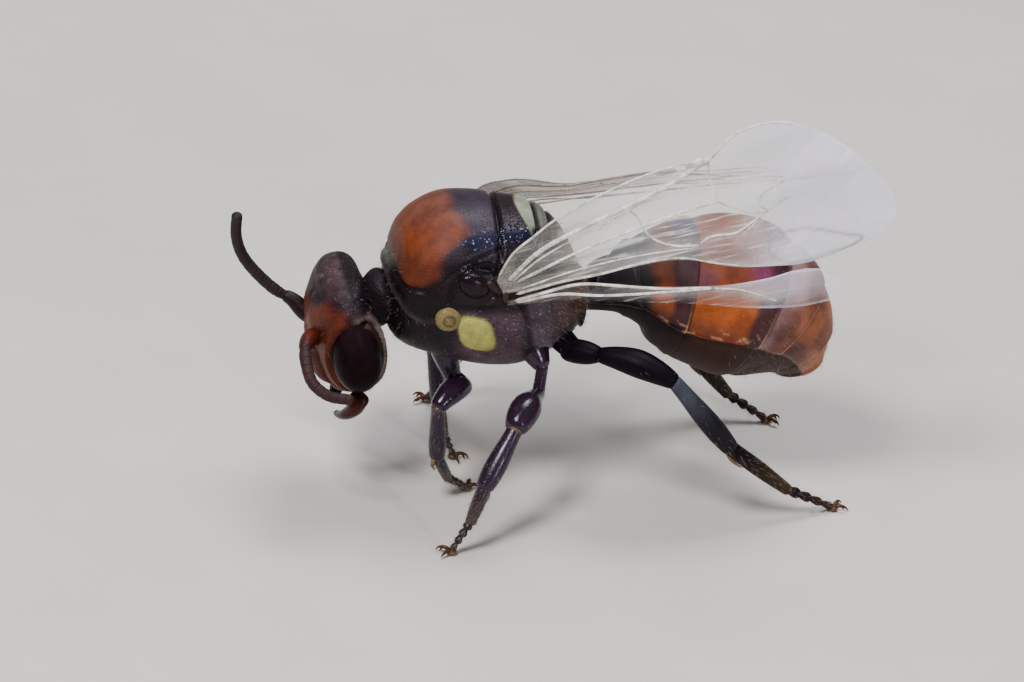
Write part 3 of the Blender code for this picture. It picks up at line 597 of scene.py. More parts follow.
def layered(base, *coats):
    """Colours from a base and coats of (colour, share for each vertex) over it."""
    shades = np.tile(np.asarray(base, float), (len(coats[0][1]), 1))
    for tone, share in coats:
        shades += (np.asarray(tone, float) - shades) * np.clip(share, 0, 1)[:, None]
    return shades


def grid(name, columns, rows):
    """A flat grid and each vertex's two shares of the way across it."""
    work = bmesh.new()
    bmesh.ops.create_grid(work, x_segments=columns, y_segments=rows, size=0.5)
    thing = link(name, work)
    return thing, triples(thing.data.vertices, "co")[:, :2] + 0.5


def sew(thing, thickness=0.0):
    """Joins doubles, turns the faces outwards and gives the skin its thickness, if any."""
    work = bmesh.new()
    work.from_mesh(thing.data)
    bmesh.ops.remove_doubles(work, verts=work.verts[:], dist=1e-7)
    bmesh.ops.recalc_face_normals(work, faces=work.faces[:])
    if thickness:
        bmesh.ops.solidify(work, geom=work.faces[:], thickness=thickness)
        bmesh.ops.recalc_face_normals(work, faces=work.faces[:])
    work.to_mesh(thing.data)
    work.free()
    thing.data.shade_smooth()


def skin(name, around, along, place):
    """A closed skin: a grid whose two shares, round and along, are put in place, then sewn up."""
    thing, shares = grid(name, around, along)
    turn, share = shares.T
    keep(thing, Round=turn, Along=share)
    write(thing, place(turn, share))
    sew(thing)
    return thing


def tube(name, path, radii, around, along, flat=1.0, up=(0, 0, 1), over=0.0):
    """A rounded limb round a smooth line with closed ends, which run over past the line's ends.

    radii are spread evenly along it, or are a function of the share of its length.
    """
    line = np.array(path, float)
    line[0] += unit(line[0] - line[1]) * over
    line[-1] += unit(line[-1] - line[-2]) * over
    shares = np.linspace(0, 1, along + 1)
    middles = evenly(line, along + 1)
    if callable(radii):
        widths = radii(shares)
    else:
        widths = through(np.column_stack([np.linspace(0, 1, len(radii)), radii]), shares)[:, 0]
    ends = np.minimum(shares, 1 - shares) * travelled(middles)[-1]
    widths = widths * np.sqrt(np.clip(1 - (1 - np.clip(ends / (0.7 * widths), 0, 1)) ** 2, 0, 1))
    ahead = unit(np.gradient(middles, axis=0))
    side = unit(np.cross(ahead, np.asarray(up, float)))
    above = np.cross(side, ahead)

    def place(turn, share):
        row = np.rint(share * along).astype(int)
        angle = 2 * math.pi * turn
        reach = side[row] * np.cos(angle)[:, None] + above[row] * np.sin(angle)[:, None] * flat
        return middles[row] + reach * widths[row][:, None]

    return skin(name, around, along, place)


def ball(name, centre, half, detail, tone, shine=0.6, pits=0.15, turn=0.0):
    """A rounded lump of one colour; turn tilts it about its centre, seen from the side."""
    work = bmesh.new()
    bmesh.ops.create_uvsphere(work, u_segments=detail, v_segments=detail // 2, radius=1.0)
    lump = link(name, work)
    tilt = np.array(Matrix.Rotation(turn, 3, "Y"))
    write(lump, triples(lump.data.vertices, "co") * half @ tilt.T + centre)
    lump.data.shade_smooth()
    return paint(lump, tone, shine, pits)


def join(name, pieces):
    """One object from several."""
    first = pieces[0]
    with bpy.context.temp_override(
        active_object=first, object=first, selected_objects=pieces, selected_editable_objects=pieces
    ):
        bpy.ops.object.join()
    first.name = name
    first.data.name = name
    return first


def push(thing, distance):
    """Moves the skin along its normals by millimetres."""
    write(thing, read(thing) + normals(thing) * distance[:, None])


def set_down(thing):
    """Flattens what would reach below the floor."""
    write(thing, np.maximum(read(thing), (-np.inf, -np.inf, 0.0)))


def finish_piece(thing, finish, slot, stands_for=True):
    """Gives the finish, hangs the piece on the body and hides the part it stands for, if any."""
    thing.data.materials.clear()
    thing.data.materials.append(finish)
    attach(thing, "root")
    if stands_for:
        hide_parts(slot)


class Finish:
    """A material under way: its tree, its shader and the surface's own place in millimetres."""

    def __init__(self, name):
        self.material = bpy.data.materials.new(name)
        self.material.use_nodes = True
        self.tree = self.material.node_tree
        place = self.node("TexCoord", "Object")
        self.place = self.node("Mapping", "Vector", {"Vector": place, "Scale": (1000, 1000, 1000)})

    def fill(self, node, inputs):
        """Links a node's inputs, or sets them to values."""
        for key, value in inputs.items():
            if isinstance(value, bpy.types.NodeSocket):
                self.tree.links.new(value, node.inputs[key])
            else:
                node.inputs[key].default_value = value

    def node(self, kind, output, inputs=None, **settings):
        """The output of a new shader node."""
        made = self.tree.nodes.new("ShaderNode" + kind)
        for setting, value in settings.items():
            setattr(made, setting, value)
        self.fill(made, inputs or {})
        return made.outputs[output]

    def done(self, inputs):
        """The material, once its shader has its inputs."""
        self.fill(self.tree.nodes["Principled BSDF"], inputs)
        return self.material

    def stored(self, name):
        """A colour or number kept on the mesh."""
        return self.node("Attribute", "Color" if name == "Shade" else "Fac", attribute_name=name)

    def flat(self, tone):
        """One colour all over."""
        colour = self.node("RGB", "Color")
        colour.default_value = (*tone, 1.0)
        return colour

    def noise(self, scale, detail, rough=0.55, place=None):
        """Soft noise between 0 and 1."""
        inputs = {"Vector": place or self.place, "Scale": scale, "Detail": detail, "Roughness": rough}
        return self.node("TexNoise", "Fac", inputs)

    def cells(self, scale, randomness, place=None):
        """Distance from the middles of small cells."""
        inputs = {"Vector": place or self.place, "Scale": scale, "Randomness": randomness}
        return self.node("TexVoronoi", "Distance", inputs, feature="F1")

    def spread(self, value, low, high, to_low=0.0, to_high=1.0):
        """A value carried from one range to another."""
        inputs = {"Value": value, "From Min": low, "From Max": high, "To Min": to_low, "To Max": to_high}
        return self.node("MapRange", "Result", inputs, interpolation_type="SMOOTHSTEP")

    def maths(self, operation, first, second, **settings):
        """The result of two numbers."""
        return self.node("Math", "Value", {0: first, 1: second}, operation=operation, **settings)

    def scaled(self, colour, factor):
        """A colour times a number."""
        return self.node("VectorMath", "Vector", {0: colour, "Scale": factor}, operation="SCALE")

    def mottled(self, colour, value, darkest, brightest):
        """The colour made darker and brighter by a value between 0 and 1."""
        return self.scaled(colour, self.spread(value, 0.25, 0.75, darkest, brightest))

    def bump(self, height, strength, depth, under=None, **settings):
        """Small relief of a depth in millimetres, over another one if given."""
        inputs = {"Height": height, "Strength": strength, "Distance": depth * MM}
        if under:
            inputs["Normal"] = under
        return self.node("Bump", "Normal", inputs, **settings)


def shell_finish(
    name, rough=(0.22, 0.55), pit_depth=1.0, gloss=0.16, glow=0.0, tint=(0.95, 0.92, 1.0), uneven=0.2
):
    """Horny shell: painted colour with blotches, fine pits, faint wrinkles and painted bluish glints."""
    look = Finish(name)
    pits = look.stored("Pits")
    grains = look.noise(38.0, 3.0)
    bowls = look.maths("MULTIPLY", look.spread(look.cells(MM / sizes().pit, 0.9), 0.10, 0.42), pits)
    tone = look.mottled(look.stored("Shade"), look.noise(3.5, 5.0), 1 - uneven, 1 + uneven)
    tone = look.mottled(tone, grains, 0.86, 1.14)
    tone = look.scaled(tone, look.spread(look.maths("SUBTRACT", bowls, pits), -1.0, 0.0, 0.55, 1.0))
    drift = look.node("TexNoise", "Color", {"Vector": look.place, "Scale": 14.0, "Detail": 2.0})
    astray = {0: drift, 1: (0.22, 0.22, 0.22), 2: look.place}
    astray = look.node("VectorMath", "Vector", astray, operation="MULTIPLY_ADD")
    # Painted glints: small pale bluish highlights in scattered cells, as much as the Glints share allows
    sparks = look.spread(look.cells(11.0, 1.0, astray), 0.12, 0.30, 1.0, 0.0)
    lit = look.maths("MULTIPLY", look.stored("Glints"), look.spread(grains, 0.45, 0.6))
    lit = look.maths("MULTIPLY", sparks, lit)
    worn = look.spread(look.stored("Shine"), 0.0, 1.0, rough[1], rough[0])
    pitted = look.bump(bowls, 0.9, 0.014 * pit_depth)
    return look.done({
        "Base Color": look.node("MixRGB", "Color", {"Fac": lit, "Color1": tone, "Color2": GLINT_COLOUR}),
        "Roughness": look.maths("ADD", worn, look.spread(grains, 0.3, 0.7, -0.05, 0.07)),
        "Normal": look.bump(grains, 0.35, 0.006, pitted),
        "Specular IOR Level": gloss,
        "Specular Tint": (*tint, 1.0),
        "Subsurface Weight": glow,
        "Subsurface Radius": (1.0, 0.35, 0.12),
        "Subsurface Scale": 0.0003,
    })


def eye_finish(name):
    """Dark many-sided eye under a faint gloss."""
    look = Finish(name)
    blotches = look.noise(2.2, 3.0)
    facets = look.cells(MM / sizes().facet, 0.15)
    return look.done({
        "Base Color": look.mottled(look.stored("Shade"), blotches, 0.7, 1.4),
        "Roughness": look.spread(blotches, 0.2, 0.8, 0.24, 0.36),
        "Normal": look.bump(facets, 0.5, 0.006, invert=True),
        "Specular IOR Level": 0.03,
    })


def hair_finish(name):
    """Fine horny hair, a little uneven in colour."""
    look = Finish(name)
    tone = look.mottled(look.flat(colours().hair), look.noise(9.0, 2.0), 0.6, 1.2)
    return look.done({"Base Color": tone, "Roughness": 0.4})


def vein_finish(name):
    """Pale horn of the wing veins."""
    look = Finish(name)
    dust = look.noise(5.0, 4.0)
    patchy = look.mottled(look.stored("Shade"), dust, 0.60, 1.15)
    return look.done({
        "Base Color": look.mottled(patchy, look.noise(26.0, 2.0), 0.75, 1.35),
        "Alpha": look.spread(dust, 0.25, 0.7, 0.70, 0.97),
        "Roughness": look.spread(dust, 0.3, 0.7, 0.22, 0.38),
        "Subsurface Weight": 0.25,
        "Subsurface Radius": (1.0, 0.7, 0.4),
        "Subsurface Scale": 0.00006,
        "Coat Weight": 0.3,
    })


def membrane_finish(name):
    """Clear wing skin: mostly see-through, milky, with painted highlight streaks, wrinkles and a faint
    rainbow.
    """
    look = Finish(name)
    clouds = look.noise(1.1, 4.0)
    wrinkles = look.noise(6.0, 5.0, 0.65)
    far = look.maths("MULTIPLY", look.stored("Far"), 0.5)
    high = look.maths("MULTIPLY", look.stored("High"), 5.5)
    lengthwise = look.node("CombineXYZ", "Vector", {"X": far, "Y": high})
    # Painted highlights: pale streaks along the wing, as strong as the Glints share
    streaks = look.spread(look.noise(2.2, 5.0, 0.6, lengthwise), 0.50, 0.70)
    bright = look.maths("MULTIPLY", streaks, look.stored("Glints"))
    veil = look.maths("MULTIPLY", look.stored("Shine"), look.spread(clouds, 0.3, 0.7, 0.6, 1.2))
    return look.done({
        "Base Color": look.mottled(look.stored("Shade"), clouds, 0.9, 1.1),
        "Alpha": look.maths("ADD", veil, bright, use_clamp=True),
        "Normal": look.bump(wrinkles, 0.5, 0.04),
        "Roughness": look.spread(wrinkles, 0.3, 0.7, 0.12, 0.26),
        "IOR": 1.6,
        "Thin Film Thickness": 420.0,
        "Thin Film IOR": 1.38,
    })


def grooves(fold, back=1.0, flank=1.0, blur=0.12):
    """Depth and share at each place of every chest groove, with their widths times a factor."""
    for at, depth, wide, lowest in BACK_GROOVES:
        yield depth, bell(fold[:, 0] - at, wide * back) * edge(fold[:, 2] - lowest, blur)
    for depth, wide, line in FLANK_GROOVES:
        yield depth, bell(line_distance(fold, line), wide * flank)


def patch_depth(fold):
    """How far a place lies inside the pale patch of the flank, a rounded lozenge; below 0 outside."""
    along = (fold[:, 0] - SIDE_PATCH_AT[0]) / SIDE_PATCH_HALF[0]
    high = (fold[:, 2] - SIDE_PATCH_AT[1]) / SIDE_PATCH_HALF[1]
    along, high = along + 0.30 * high, high + 0.10 * along
    outwards = np.abs(along) ** SIDE_PATCH_SQUARENESS + np.abs(high) ** SIDE_PATCH_SQUARENESS
    return (1 - outwards ** (1 / SIDE_PATCH_SQUARENESS)) * SIDE_PATCH_HALF[0]


class BEE_OT_thorax(bpy.types.Operator):
    """Make the chest with collar, lobes, wing scales and neck"""

    bl_idname = "bee.thorax"
    bl_label = "Chest"

    def execute(self, context):
        tones = colours()
        body = self.shell(tones)
        neck = tube("neck", NECK_PATH, NECK_RADII, 48, 30)
        parts = [body, paint(neck, tones.dark * 0.8, 0.2, 0.5)]
        for side in (LEFT, RIGHT):
            at = WING_SCALE_AT * (1, side, 1)
            tone = tones.dark * 0.8
            parts.append(ball("scale", at, WING_SCALE_HALF, 32, tone, 0.95, 0.15, WING_SCALE_LEAN))
            parts.append(self.lobe(side))
            for number, (along, out, up, size, pale) in enumerate(WING_KNUCKLES):
                at = (along, side * out, up)
                half = (size * 1.5, size * 0.8, size * 0.6)
                tone = tones.dark * (1 - pale) + tones.tan * pale
                turn = math.radians(35 + 50 * number)
                parts.append(ball("knuckle", at, half, 16, tone, 0.9, 0.1, turn))
        body = join("thorax_shell", parts)
        finish_piece(body, shell_finish("thorax_finish", pit_depth=1.8, uneven=0.3), "thorax")
        return {"FINISHED"}

    def shell(self, tones):
        """One skin with its grooves, collar rim, flank patches and ribbed hind slope."""
        section = sections(THORAX_STATIONS)

        def place(turn, share):
            x, high, low, wide = section(share)
            middle = low + (high - low) * WIDEST_HEIGHT
            angle = 2 * math.pi * turn - math.pi / 2
            up = power(np.sin(angle), THORAX_ROUNDNESS)
            tall = np.where(up > 0, high - middle, middle - low)
            return np.column_stack([x, wide * power(np.cos(angle), THORAX_ROUNDNESS), middle + tall * up])

        body = skin("thorax_shell", 240, 250, place)
        fold = mirrored(read(body))
        x, y, z = fold.T
        flank = patch_depth(fold)
        outer = edge(y - 1.0, 0.1)
        raised = 0.05 * bell(line_distance(fold, COLLAR_RIM), 0.06)
        raised += 0.035 * edge(flank - 0.03, 0.06) * outer
        raised += 0.005 * np.sin(x * 42 + z * 10) * edge(x - 1.52, 0.06) * edge(3.9 - z, 0.3)
        push(body, raised - sum(depth * cut for depth, cut in grooves(fold)))
        self.colour(body, tones, fold, edge(flank, 0.035) * outer)
        return body

    def lobe(self, side):
        """A pale knob beside the collar, with a dark ring and pit."""
        lump = ball("lobe", LOBE_AT * (1, side, 1), LOBE_HALF, 32, LOBE_COLOUR)
        spots = read(lump)
        away = np.linalg.norm((spots - LOBE_AT)[:, [0, 2]], axis=1)
        ring = bell(away - LOBE_RING_RADIUS, 0.025)
        write(lump, spots - np.outer(ring, (0, side * 0.03, 0)))
        dark = 0.8 * ring + 0.6 * bell(away - 0.03, 0.03)
        return paint(lump, layered(LOBE_COLOUR, ((0.040, 0.026, 0.012), dark)), 0.5, 0.3)

    def colour(self, body, tones, fold, patch):
        """Rust shield, dark flanks, cream crescent and yellow patch, with painted sheen, shade and glints.
        """
        x, y, z = fold.T
        wobble = 0.04 * np.sin(7 * y + 2) + 0.02 * np.sin(17 * y + 3 * x)
        shield_rear = -0.42 + 0.24 * edge(y - 0.45, 0.4) - 0.45 * edge(y - 0.98, 0.16) + wobble
        shield_foot = 4.38 + 0.55 * np.clip(x + 1.0, 0, 3) + 1.6 * np.clip(-1.18 - x, 0, 1)
        rust = edge(shield_rear - x, 0.16) * edge(z - shield_foot, 0.13)
        rust *= 1 - 0.8 * bell(line_distance(fold, SHIELD_LINE), 0.055)
        blue = bell(line_distance(fold, BLUE_BAND), 0.15)
        black = bell(line_distance(fold, FLANK_GROOVES[1][2][2:]), 0.16)
        cream = edge(x - 0.80 - 0.20 * (y / 0.7) ** 2, 0.03) * edge(1.13 - x, 0.02) * edge(0.84 - y, 0.07)
        hind = edge(x - 1.19, 0.03) * edge(1.38 - x, 0.03) * edge(0.50 - y, 0.10)
        purple = edge(4.02 - z, 0.10) * edge(x + 0.25, 0.2) * edge(0.95 - x, 0.12)
        plates = edge(x - 0.98 - 0.25 * (4 - z), 0.05) * edge(4.25 - z, 0.1)
        plates *= edge(1.72 - x, 0.1) * edge(y - 0.55, 0.2)
        top = edge(z - 5.0, 0.25) * edge(0.40 - x, 0.05)
        # Painted shade: how far down in a groove each place lies, to darken the grooves
        deep = np.max([cut for depth, cut in grooves(fold, 1.1, 1.3, 0.1)], axis=0)
        # Near black: the glossy black band by the wing groove, and painted shade under the front and in
        # grooves
        black_tone = tones.dark * 0.35
        shades = layered(
            tones.dark,
            (tones.purple, purple),
            # Painted sheen: the top of the chest a lighter bluish grey
            (tones.grey * (0.42, 0.38, 0.52), 0.85 * top),
            # Painted shade: the front of the chest, low down beside the collar, darkened to near black
            (black_tone, 0.8 * edge(-0.45 - x, 0.2) * edge(4.40 - z, 0.12)),
            (black_tone, 0.9 * black),
            (tones.rust, rust),
            # Painted sheen: a greyish highlight on the top of the rust shield
            ((0.11, 0.060, 0.052), 0.45 * rust * edge(z - 5.15 - 0.25 * y, 0.35)),
            # Painted shade: the rust shield darker low down
            (tones.rust * (0.5, 0.5, 0.8), 0.8 * rust * edge(4.80 - z, 0.25)),
            (tones.blue, 0.9 * blue),
            (tones.grey * (0.95, 0.86, 1.0), 0.8 * plates),
            (tones.tan * (0.5, 0.42, 0.42), 0.5 * edge(x - 1.48, 0.08) * edge(z - 3.55, 0.12)),
            ((0.045, 0.032, 0.034), 0.55 * bell(line_distance(fold, COLLAR_RIM), 0.05)),
            (tones.cream * 0.75, cream),
            (tones.cream * 0.42, 0.75 * hind),
            (tones.yellow, patch),
            # Painted shade in the grooves
            (black_tone * 0.6, 0.92 * deep),
        )
        # Painted glints: small highlights on the blue band, the black band, the purple flank and the grey
        # plates
        glints = (2.0 * blue + 0.7 * black + 0.45 * purple + 0.5 * plates) * (1 - patch)
        shine = 0.45 + 0.5 * blue + 0.5 * black + 0.3 * plates - 0.2 * rust + 0.1 * purple
        pits = 0.35 + 0.6 * purple + 0.6 * blue - 0.15 * rust - 0.4 * black
        paint(body, shades, shine, pits - 0.22 * top - 0.6 * patch - 0.5 * cream, glints)


class BEE_OT_abdomen(bpy.types.Operator):
    """Make the hind body with its overlapping back plates and belly plates"""

    bl_idname = "bee.abdomen"
    bl_label = "Abdomen"

    def execute(self, context):
        line = np.array(ABDOMEN_STATIONS)
        marks = travelled(line[:, :2])
        far = np.linspace(0, 1, ABDOMEN_RINGS + 1) * marks[-1]
        rows = through(np.column_stack([marks, line]), far)
        ahead = unit(np.gradient(rows[:, :2], axis=0))
        number = np.searchsorted(PLATE_ENDS, far, side="right")
        start = np.array([FIRST_PLATE_START] + PLATE_ENDS)[number]
        end = np.array(PLATE_ENDS + [far[-1] + 0.2])[number]
        into = np.clip((far - start) / (end - start), 0, 1)

        def place(turn, share):
            row = np.rint(share * ABDOMEN_RINGS).astype(int)
            angle = 2 * math.pi * turn - math.pi / 2
            high = np.sin(angle)
            over = high - through(BELLY_EDGE, far[row])[:, 0]
            back = edge(over, 0.03)
            flatter = 1 - 0.5 * edge(far[row] - 3.9, 0.3) * (1 - back)
            lift = PLATE_STEP * (into[row] ** 0.8 * (0.30 + 0.70 * back) * flatter - 0.7)
            rolled = 0.03 * edge(into[row] - 0.97, 0.03)
            crease = (0.04 * bell(over, 0.05) + 0.05 * (1 - back)) * edge(4.2 - far[row], 0.5)
            fade = np.clip((rows[row, 2] - 0.1) / 0.5, 0, 1)
            fold = 0.27 * bell(far[row] - FOLD_AT, 0.42) * np.clip(-high, 0, 1) ** 2
            reach = rows[row, 2] + (lift - rolled - crease) * fade + fold
            x = rows[row, 0] - ahead[row, 1] * high * reach
            z = rows[row, 1] + ahead[row, 0] * high * reach
            return np.column_stack([x, np.cos(angle) * reach, z])

        body = skin("abdomen_plates", 200, ABDOMEN_RINGS, place)
        high = np.sin(2 * math.pi * value_of(body, "Round") - math.pi / 2)
        self.colour(body, colours(), value_of(body, "Along") * far[-1], high)
        finish = shell_finish("abdomen_finish", (0.14, 0.58), 0.6, 0.22, 0.35, (1.0, 0.94, 0.96), 0.3)
        finish_piece(body, finish, "abdomen")
        return {"FINISHED"}

    def colour(self, body, tones, far, high):
        """Dark first plate, amber plates with dark rims, dark belly, mottled amber tip, with painted
        highlights, glow and reflections.
        """
        first, second, third, fourth, fifth = PLATE_ENDS
        wave = 0.03 * np.sin(6 * high) + 0.02 * np.sin(15 * high)
        front = edge(first + 0.06 + 0.14 * edge(high - 0.3, 0.4) + wave - far, 0.10)
        band_two = edge(far - (second - 0.33) - wave, 0.06) * edge(second - far, 0.01)
        band_three = edge(far - (third - 0.33) + wave, 0.07) * edge(third - far, 0.01)
        pink = edge(far - third, 0.01) * edge(third + 0.34 - far, 0.16)
        hind_rim = edge(far - (fourth - 0.10), 0.04) * edge(fourth + 0.01 - far, 0.01)
        tail = edge(far - fifth, 0.1)
        behind = edge(far - third - 0.12, 0.15)
        over = high - through(BELLY_EDGE, far)[:, 0]
        belly = edge(-over, 0.03)
        under = edge(0.35 - over, 0.3)
        foot = edge(0.30 - over, 0.2)
        low = behind * edge(0.42 + 0.10 * np.sin(8 * far) - over, 0.22)
        blots = behind * edge(np.sin(6.5 * far + 2.5 * high) * np.sin(6 * high - 3 * far + 1) - 0.05, 0.35)
        # Painted highlights: broken pale streaks low on the side of the second and third plates
        wander = over - 0.08 - 0.03 * np.sin(9 * far) - 0.012 * np.sin(31 * far)
        painted_highlights = bell(wander, 0.016) * edge(np.sin(13 * far + 1.2) - 0.1, 0.4)
        painted_highlights += 0.7 * bell(wander - 0.11, 0.010) * edge(np.sin(9 * far + 4.0) - 0.5, 0.3)
        painted_highlights *= edge(far - first - 0.25, 0.1) * edge(third - far, 0.1)
        # Painted highlights: thin pale lines at the plate ends
        rims = np.max([bell(far - end + 0.02, 0.016) for end in PLATE_ENDS[1:]], axis=0)
        deep = np.max([bell(far - end - 0.012, 0.014) for end in PLATE_ENDS], axis=0)
        spots = read(body)
        brown = tones.amber * (0.22, 0.16, 0.5)

        def near(place, reach):
            return bell(np.linalg.norm(spots - place, axis=1), reach)

        shades = layered(
            tones.amber,
            (brown, 0.55 * edge(high - 0.45, 0.35) * edge(third - far, 0.3)),
            (brown, 0.6 * edge(second - far, 0.1)),
            (brown, 0.65 * under),
            # Painted glow: a brighter amber band low on the side, for light shining through the plates
            (tones.amber * 1.25, 0.6 * bell(over - 0.42, 0.2)),
            ((0.007, 0.008, 0.013), 0.96 * front),
            (tones.band, 0.95 * band_two),
            (tones.band, 0.92 * band_three),
            ((0.24, 0.150, 0.165), 0.8 * pink),
            (tones.band, 0.75 * hind_rim),
            ((0.30, 0.115, 0.060), 0.4 * edge(far - third - 0.2, 0.2)),
            (brown * 0.8, 0.55 * blots),
            (tones.amber * (1.1, 1.9, 3.6), 0.45 * tail),
            (brown * 0.6, 0.7 * low * (1 - 0.6 * tail)),
            (tones.belly * (0.58, 0.65, 0.75), 0.95 * belly),
            (tones.dark * 0.6, 0.8 * edge(0.12 - over, 0.2) * edge(1.9 - far, 0.5)),
            # Painted highlights along the plate ends, stronger low down
            ((0.55, 0.28, 0.12), rims * (1 - belly) * (0.12 + 0.6 * foot)),
            # Painted reflections: a blue gloss on the back, magenta gloss on the side
            ((0.008, 0.010, 0.085), 0.85 * near((3.96, 0.04, 5.04), 0.42) * (band_two + front)),
            ((0.16, 0.030, 0.13), 0.7 * near((5.11, -1.01, 4.62), 0.22)),
            ((0.10, 0.022, 0.08), 0.6 * near((4.10, -1.05, 4.58), 0.20)),
            (tones.dark * 0.4, 0.8 * deep),
            # Painted highlights, pale amber
            ((0.62, 0.36, 0.20), 0.6 * painted_highlights),
        )
        shine = 0.55 - 0.25 * front + 0.45 * under - 0.85 * belly - 0.35 * edge(high - 0.35, 0.3)
        paint(body, shades, shine, 0.15)


def from_head(spots):
    """Head places as bee places."""
    return np.asarray(spots, float) @ HEAD_TURN[:3, :3].T + HEAD_TURN[:3, 3]


def to_head(spots):
    """Bee places as head places."""
    return (spots - HEAD_TURN[:3, 3]) @ HEAD_TURN[:3, :3]


def eye_reach(local):
    """How far a head place lies outside the big eye, as a share of its size; below 0 inside."""
    x, y, z = ((mirrored(local) - EYE_AT) / EYE_HALF).T
    narrow = 1 - EYE_NARROWING * np.clip(z, -1, 1)
    return np.sqrt((x / narrow) ** 2 + y**2 + z**2) - 1


class BEE_OT_head(bpy.types.Operator):
    """Make the skull with face shield, brow, feeler sockets, cheeks and lip"""

    bl_idname = "bee.head"
    bl_label = "Head"

    def execute(self, context):
        tones = colours()
        section = sections(HEAD_STATIONS)

        def place(turn, share):
            z, fore, rear, wide = section(share)
            angle = 2 * math.pi * turn + math.pi
            x = -np.where(np.cos(angle) > 0, fore, rear) * power(np.cos(angle), HEAD_ROUNDNESS)
            return from_head(np.column_stack([x, wide * power(np.sin(angle), HEAD_ROUNDNESS), z]))

        skull = skin("head_shell", 220, 200, place)
        local = to_head(read(skull))
        x, y, z = mirrored(local).T
        ahead = edge(-0.1 - x, 0.15)
        shield = bell(y**2, 0.36**2) * bell((z + 0.52) ** 2, 0.40**2) * ahead
        ridge = bell(y, 0.16) * bell(z - 0.02, 0.34) * ahead
        brow = bell(y - 0.30, 0.30) * bell(z - 0.42, 0.30) * ahead
        from_socket = np.hypot(y - SOCKET_AT[1], z - SOCKET_AT[2])
        socket = 0.05 * bell(from_socket - 0.15, 0.04) - 0.10 * bell(from_socket, 0.09)
        rim = eye_reach(local)
        around_eye = 0.05 * bell(rim - 0.20, 0.07) - 0.06 * bell(rim - 0.06, 0.05)
        cheek = 0.10 * bell(x - 0.34, 0.16) * bell(z + 0.15, 0.6) * edge(y - 0.5, 0.2)
        crown_line = 0.03 * bell(y, 0.02) * edge(z - 0.1, 0.1) * edge(0.85 - z, 0.1)
        seam = bell(np.maximum(y / 0.42, np.abs(z + 0.52) / 0.46) - 1, 0.06) * ahead
        raised = 0.16 * shield + 0.12 * ridge + 0.08 * brow + around_eye + cheek
        push(skull, raised + (socket - crown_line) * ahead - 0.035 * seam)
        self.colour(skull, local, tones, rim, shield, seam)
        parts = [skull]
        for at in BEADS:
            parts.append(ball("bead", from_head(at), BEAD_HALF, 20, BEAD_COLOUR, 1.0, 0.0))
        parts.append(ball("lip", from_head(LIP_AT), LIP_HALF, 32, tones.face * 0.35, 0.7, 0.3))
        parts.append(ball("tongue", from_head(TONGUE_AT), TONGUE_HALF, 24, tones.tan * 0.35, 0.6, 0.3))
        for side in (LEFT, RIGHT):
            at = from_head(SOCKET_AT * (1, side, 1))
            parts.append(ball("socket", at, SOCKET_HALF, 20, tones.face * 0.7, 0.7, 0.2))
        head = join("head_shell", parts)
        finish = shell_finish("head_finish", (0.30, 0.62), 1.2, 0.13, 0.05, uneven=0.45)
        finish_piece(head, finish, "head")
        return {"FINISHED"}

    def colour(self, skull, local, tones, rim, shield, seam):
        """Dark crown, orange face, pinkish cheeks, pale line behind the eye."""
        x, y, z = mirrored(local).T
        border = 0.62 + 0.28 * edge(y - 0.45, 0.3) + 0.03 * np.sin(11 * y)
        face = edge(border - z, 0.10) * edge(0.02 - x - 0.10 * edge(z - 0.5, 0.2), 0.12)
        cheek = edge(x - 0.02, 0.08) * edge(0.62 - z, 0.15) * edge(y - 0.42, 0.15)
        nape = edge(x - 0.13 + 0.09 * edge(z - 0.55, 0.2), 0.06) * edge(1.0 - y, 0.2)
        shades = layered(
            tones.grey * (0.62, 0.42, 0.46),
            (tones.dark * (1.2, 1.1, 1.3), 0.92 * edge(1.12 - z - 0.5 * x, 0.2)),
            (tones.face * 0.78, 0.96 * face),
            ((0.085, 0.052, 0.052), 0.45 * edge(z - 1.04, 0.12)),
            (tones.face * 0.45, 0.6 * shield * edge(-0.6 - z, 0.2)),
            ((0.13, 0.050, 0.046), 0.85 * cheek),
            (tones.dark * 0.4, 0.93 * nape),
            ((0.22, 0.16, 0.15), 0.7 * bell(rim - 0.13, 0.045) * edge(x - 0.05, 0.1)),
            (tones.dark * 0.5, 0.8 * seam),
        )
        # The last share is for painted glints, small highlights, fewer on the face
        paint(skull, shades, 0.5 - 0.3 * cheek - 0.2 * nape, 0.6 - 0.3 * face, 0.2 - 0.1 * face)


class BEE_OT_eyes(bpy.types.Operator):
    """Make the two big eyes"""

    bl_idname = "bee.eyes"
    bl_label = "Eyes"

    def execute(self, context):
        finish = eye_finish("eye_finish")
        for label, side in SIDES.items():
            eye = skin("eye_dome_" + label, 96, 72, lambda turn, share: self.dome(side, turn, share))
            rise = (to_head(read(eye))[:, 2] - EYE_AT[2]) / EYE_HALF[2]
            paint(eye, layered((0.0055, 0.0025, 0.003), ((0.009, 0.004, 0.006), edge(rise - 0.1, 0.6))))
            finish_piece(eye, finish, "eye_" + label)
        return {"FINISHED"}

    def dome(self, side, turn, share):
        """Places on one eye, narrower towards its top."""
        angle = 2 * math.pi * turn
        up = -np.cos(math.pi * share)
        wide = np.sin(math.pi * share)
        x = wide * np.cos(angle) * (1 - EYE_NARROWING * up)
        spots = np.column_stack([x, wide * np.sin(angle), up]) * EYE_HALF + EYE_AT
        return from_head(spots * (1, side, 1))


